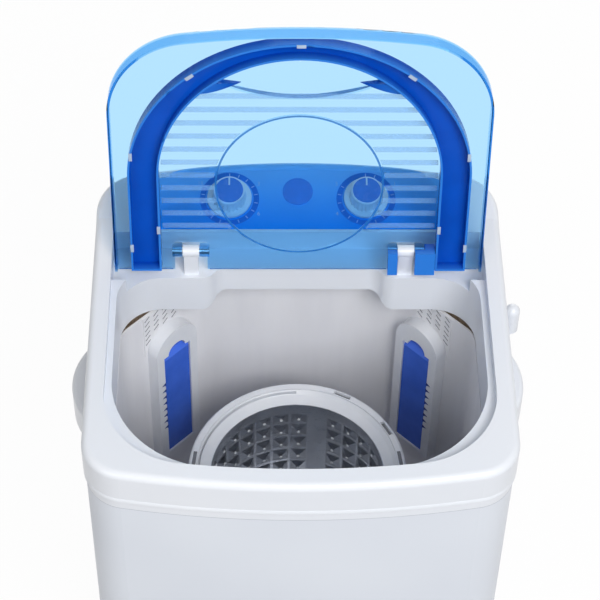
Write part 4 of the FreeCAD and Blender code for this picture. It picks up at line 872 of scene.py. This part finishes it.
def drumCollar(look):
    # an upright thin rectangle turned about the basket's axis
    inner = look["outer"] - look["sheet"]
    profile = [(inner, look["low"]), (look["outer"], look["low"]), (look["outer"], look["high"]),
               (inner, look["high"])]
    return makePiece("drum_collar", [turned(profile, onBasket, look["segments"])], metals["pressedStainless"],
                     "basket")


def ringSlots(look):
    # flat strips along the tangent at an angle from the back, each from its level up by shade
    parts = []
    rows, columns = look["grid"]
    s = np.linspace(-0.5, 0.5, columns)[None, :] * look["length"]
    c = np.linspace(-0.5, 0.5, rows)[:, None] * look["width"] + look["radius"]
    for angle, level in look["seats"]:
        a = math.radians(angle)
        grid = onBasket(c * math.sin(a) + s * math.cos(a), c * math.cos(a) - s * math.sin(a), level)
        parts.append(closedSheet(grid, np.array([0, 0, look["shade"] * mm])))
    return makePiece("ring_slot_shade", parts, plastics["slitShade"], "basket")


drumCollar(collarLook)
ringSlots(ringSlotLook)
print("collar and ring slots done")

# Camera, as fitted to the photograph
cameraLook = dict(place=(-0.03487, -1.27153, 2.06720), forward=(0.01783, 0.64700, -0.76228),
                  up=(-0.00040, 0.76241, 0.64710), lens=125.346, sensor=36.0)
cameraData = bpy.data.cameras.new("camera")
cameraData.sensor_width = cameraLook["sensor"]
cameraData.lens = cameraLook["lens"]
camera = addObject("camera", cameraData)
forward = Vector(cameraLook["forward"]).normalized()
right = forward.cross(Vector(cameraLook["up"])).normalized()
turn = Matrix((right, right.cross(forward), -forward)).transposed()
camera.matrix_world = Matrix.Translation(cameraLook["place"]) @ turn.to_4x4()
bpy.context.scene.camera = camera

# Stage: a wide pale floor that keeps a soft shadow, white to the camera, in white surroundings
stageLook = dict(size=9.0, floor="#FAFAFB", bounce="#9C9C9E", glow=0.96, room=0.34, behindLid=1.16)


# 1 for the rays that meet the stage before any matte surface: these see white
def seenRays(tree, path):
    seen = path["Is Camera Ray"]
    for ray in ("Is Glossy Ray", "Is Transmission Ray"):
        seen = put(tree, "ShaderNodeMath", {0: seen, 1: path[ray]}, operation="MAXIMUM").outputs[0]
    first = put(tree, "ShaderNodeMath", {0: path["Diffuse Depth"], 1: 0.5}, operation="LESS_THAN").outputs[0]
    return put(tree, "ShaderNodeMath", {0: seen, 1: first}, operation="MULTIPLY").outputs[0]


def stageFloor(look):
    material, tree = newMaterial("paleFloor")
    path = put(tree, "ShaderNodeLightPath").outputs
    seen = seenRays(tree, path)
    through = put(tree, "ShaderNodeMath", {0: path["Is Transmission Ray"], 1: seen}, operation="MULTIPLY")
    # reflections see the floor all white, the camera sees a trace of its shadow
    glow = put(tree, "ShaderNodeMath", {0: path["Is Camera Ray"], 1: look["glow"] - 1, 2: seen},
               operation="MULTIPLY_ADD").outputs[0]
    tone = put(tree, "ShaderNodeMix", {0: seen, 6: linear(look["bounce"]), 7: linear(look["floor"])},
               data_type="RGBA").outputs[2]
    matte = put(tree, "ShaderNodeBsdfDiffuse", {"Color": tone})
    level = put(tree, "ShaderNodeMapRange", {"Value": through.outputs[0], "To Min": 1.0,
                                             "To Max": look["behindLid"]})
    white = put(tree, "ShaderNodeEmission", {"Strength": level.outputs["Result"]})
    blend = put(tree, "ShaderNodeMixShader", {0: glow, 1: matte.outputs[0], 2: white.outputs[0]})
    put(tree, "ShaderNodeOutputMaterial", {"Surface": blend.outputs[0]})
    half = look["size"] / 2
    corners = [(x * half, y * half, 0) for x, y in ((-1, -1), (1, -1), (1, 1), (-1, 1))]
    mesh = bpy.data.meshes.new("floor")
    mesh.from_pydata(corners, [], [(0, 1, 2, 3)])
    mesh.materials.append(material)
    floor = addObject("floor", mesh)


def whiteRoom(look):
    world = bpy.data.worlds.new("room")
    bpy.context.scene.world = world
    world.use_nodes = True
    tree = world.node_tree
    tree.nodes.clear()
    seen = seenRays(tree, put(tree, "ShaderNodeLightPath").outputs)
    level = put(tree, "ShaderNodeMapRange", {"Value": seen, "To Min": look["room"], "To Max": 1.0})
    inputs = {"Color": (1, 1, 1, 1), "Strength": level.outputs["Result"]}
    air = put(tree, "ShaderNodeBackground", inputs)
    put(tree, "ShaderNodeOutputWorld", {"Surface": air.outputs[0]})


stageFloor(stageLook)
whiteRoom(stageLook)
print("camera and stage done")

# Lamps: a large soft key high at the front right, a weak fill from the left and one behind for the back
# walls, all aimed at the machine's upper part
lampAim = Vector((0, 0, 0.45))
lampLooks = {
    "key": dict(place=(1.16, -2.87, 3.44), size=2.2, power=132.0),
    "fill": dict(place=(-2.3, -2.9, 2.2), size=2.0, power=22.0),
    "behind": dict(place=(0.5, 3.9, 1.3), size=2.4, power=48.0),
}
for name, look in lampLooks.items():
    lamp = bpy.data.lights.new(name, "AREA")
    lamp.energy = look["power"]
    lamp.size = look["size"]
    holder = addObject(name, lamp)
    holder.location = look["place"]
    holder.rotation_mode = "QUATERNION"
    holder.rotation_quaternion = (lampAim - Vector(look["place"])).to_track_quat("-Z", "Y")
print("lamps done")

bpy.context.scene.view_settings.view_transform = "Standard"

bpy.context.view_layer.update()
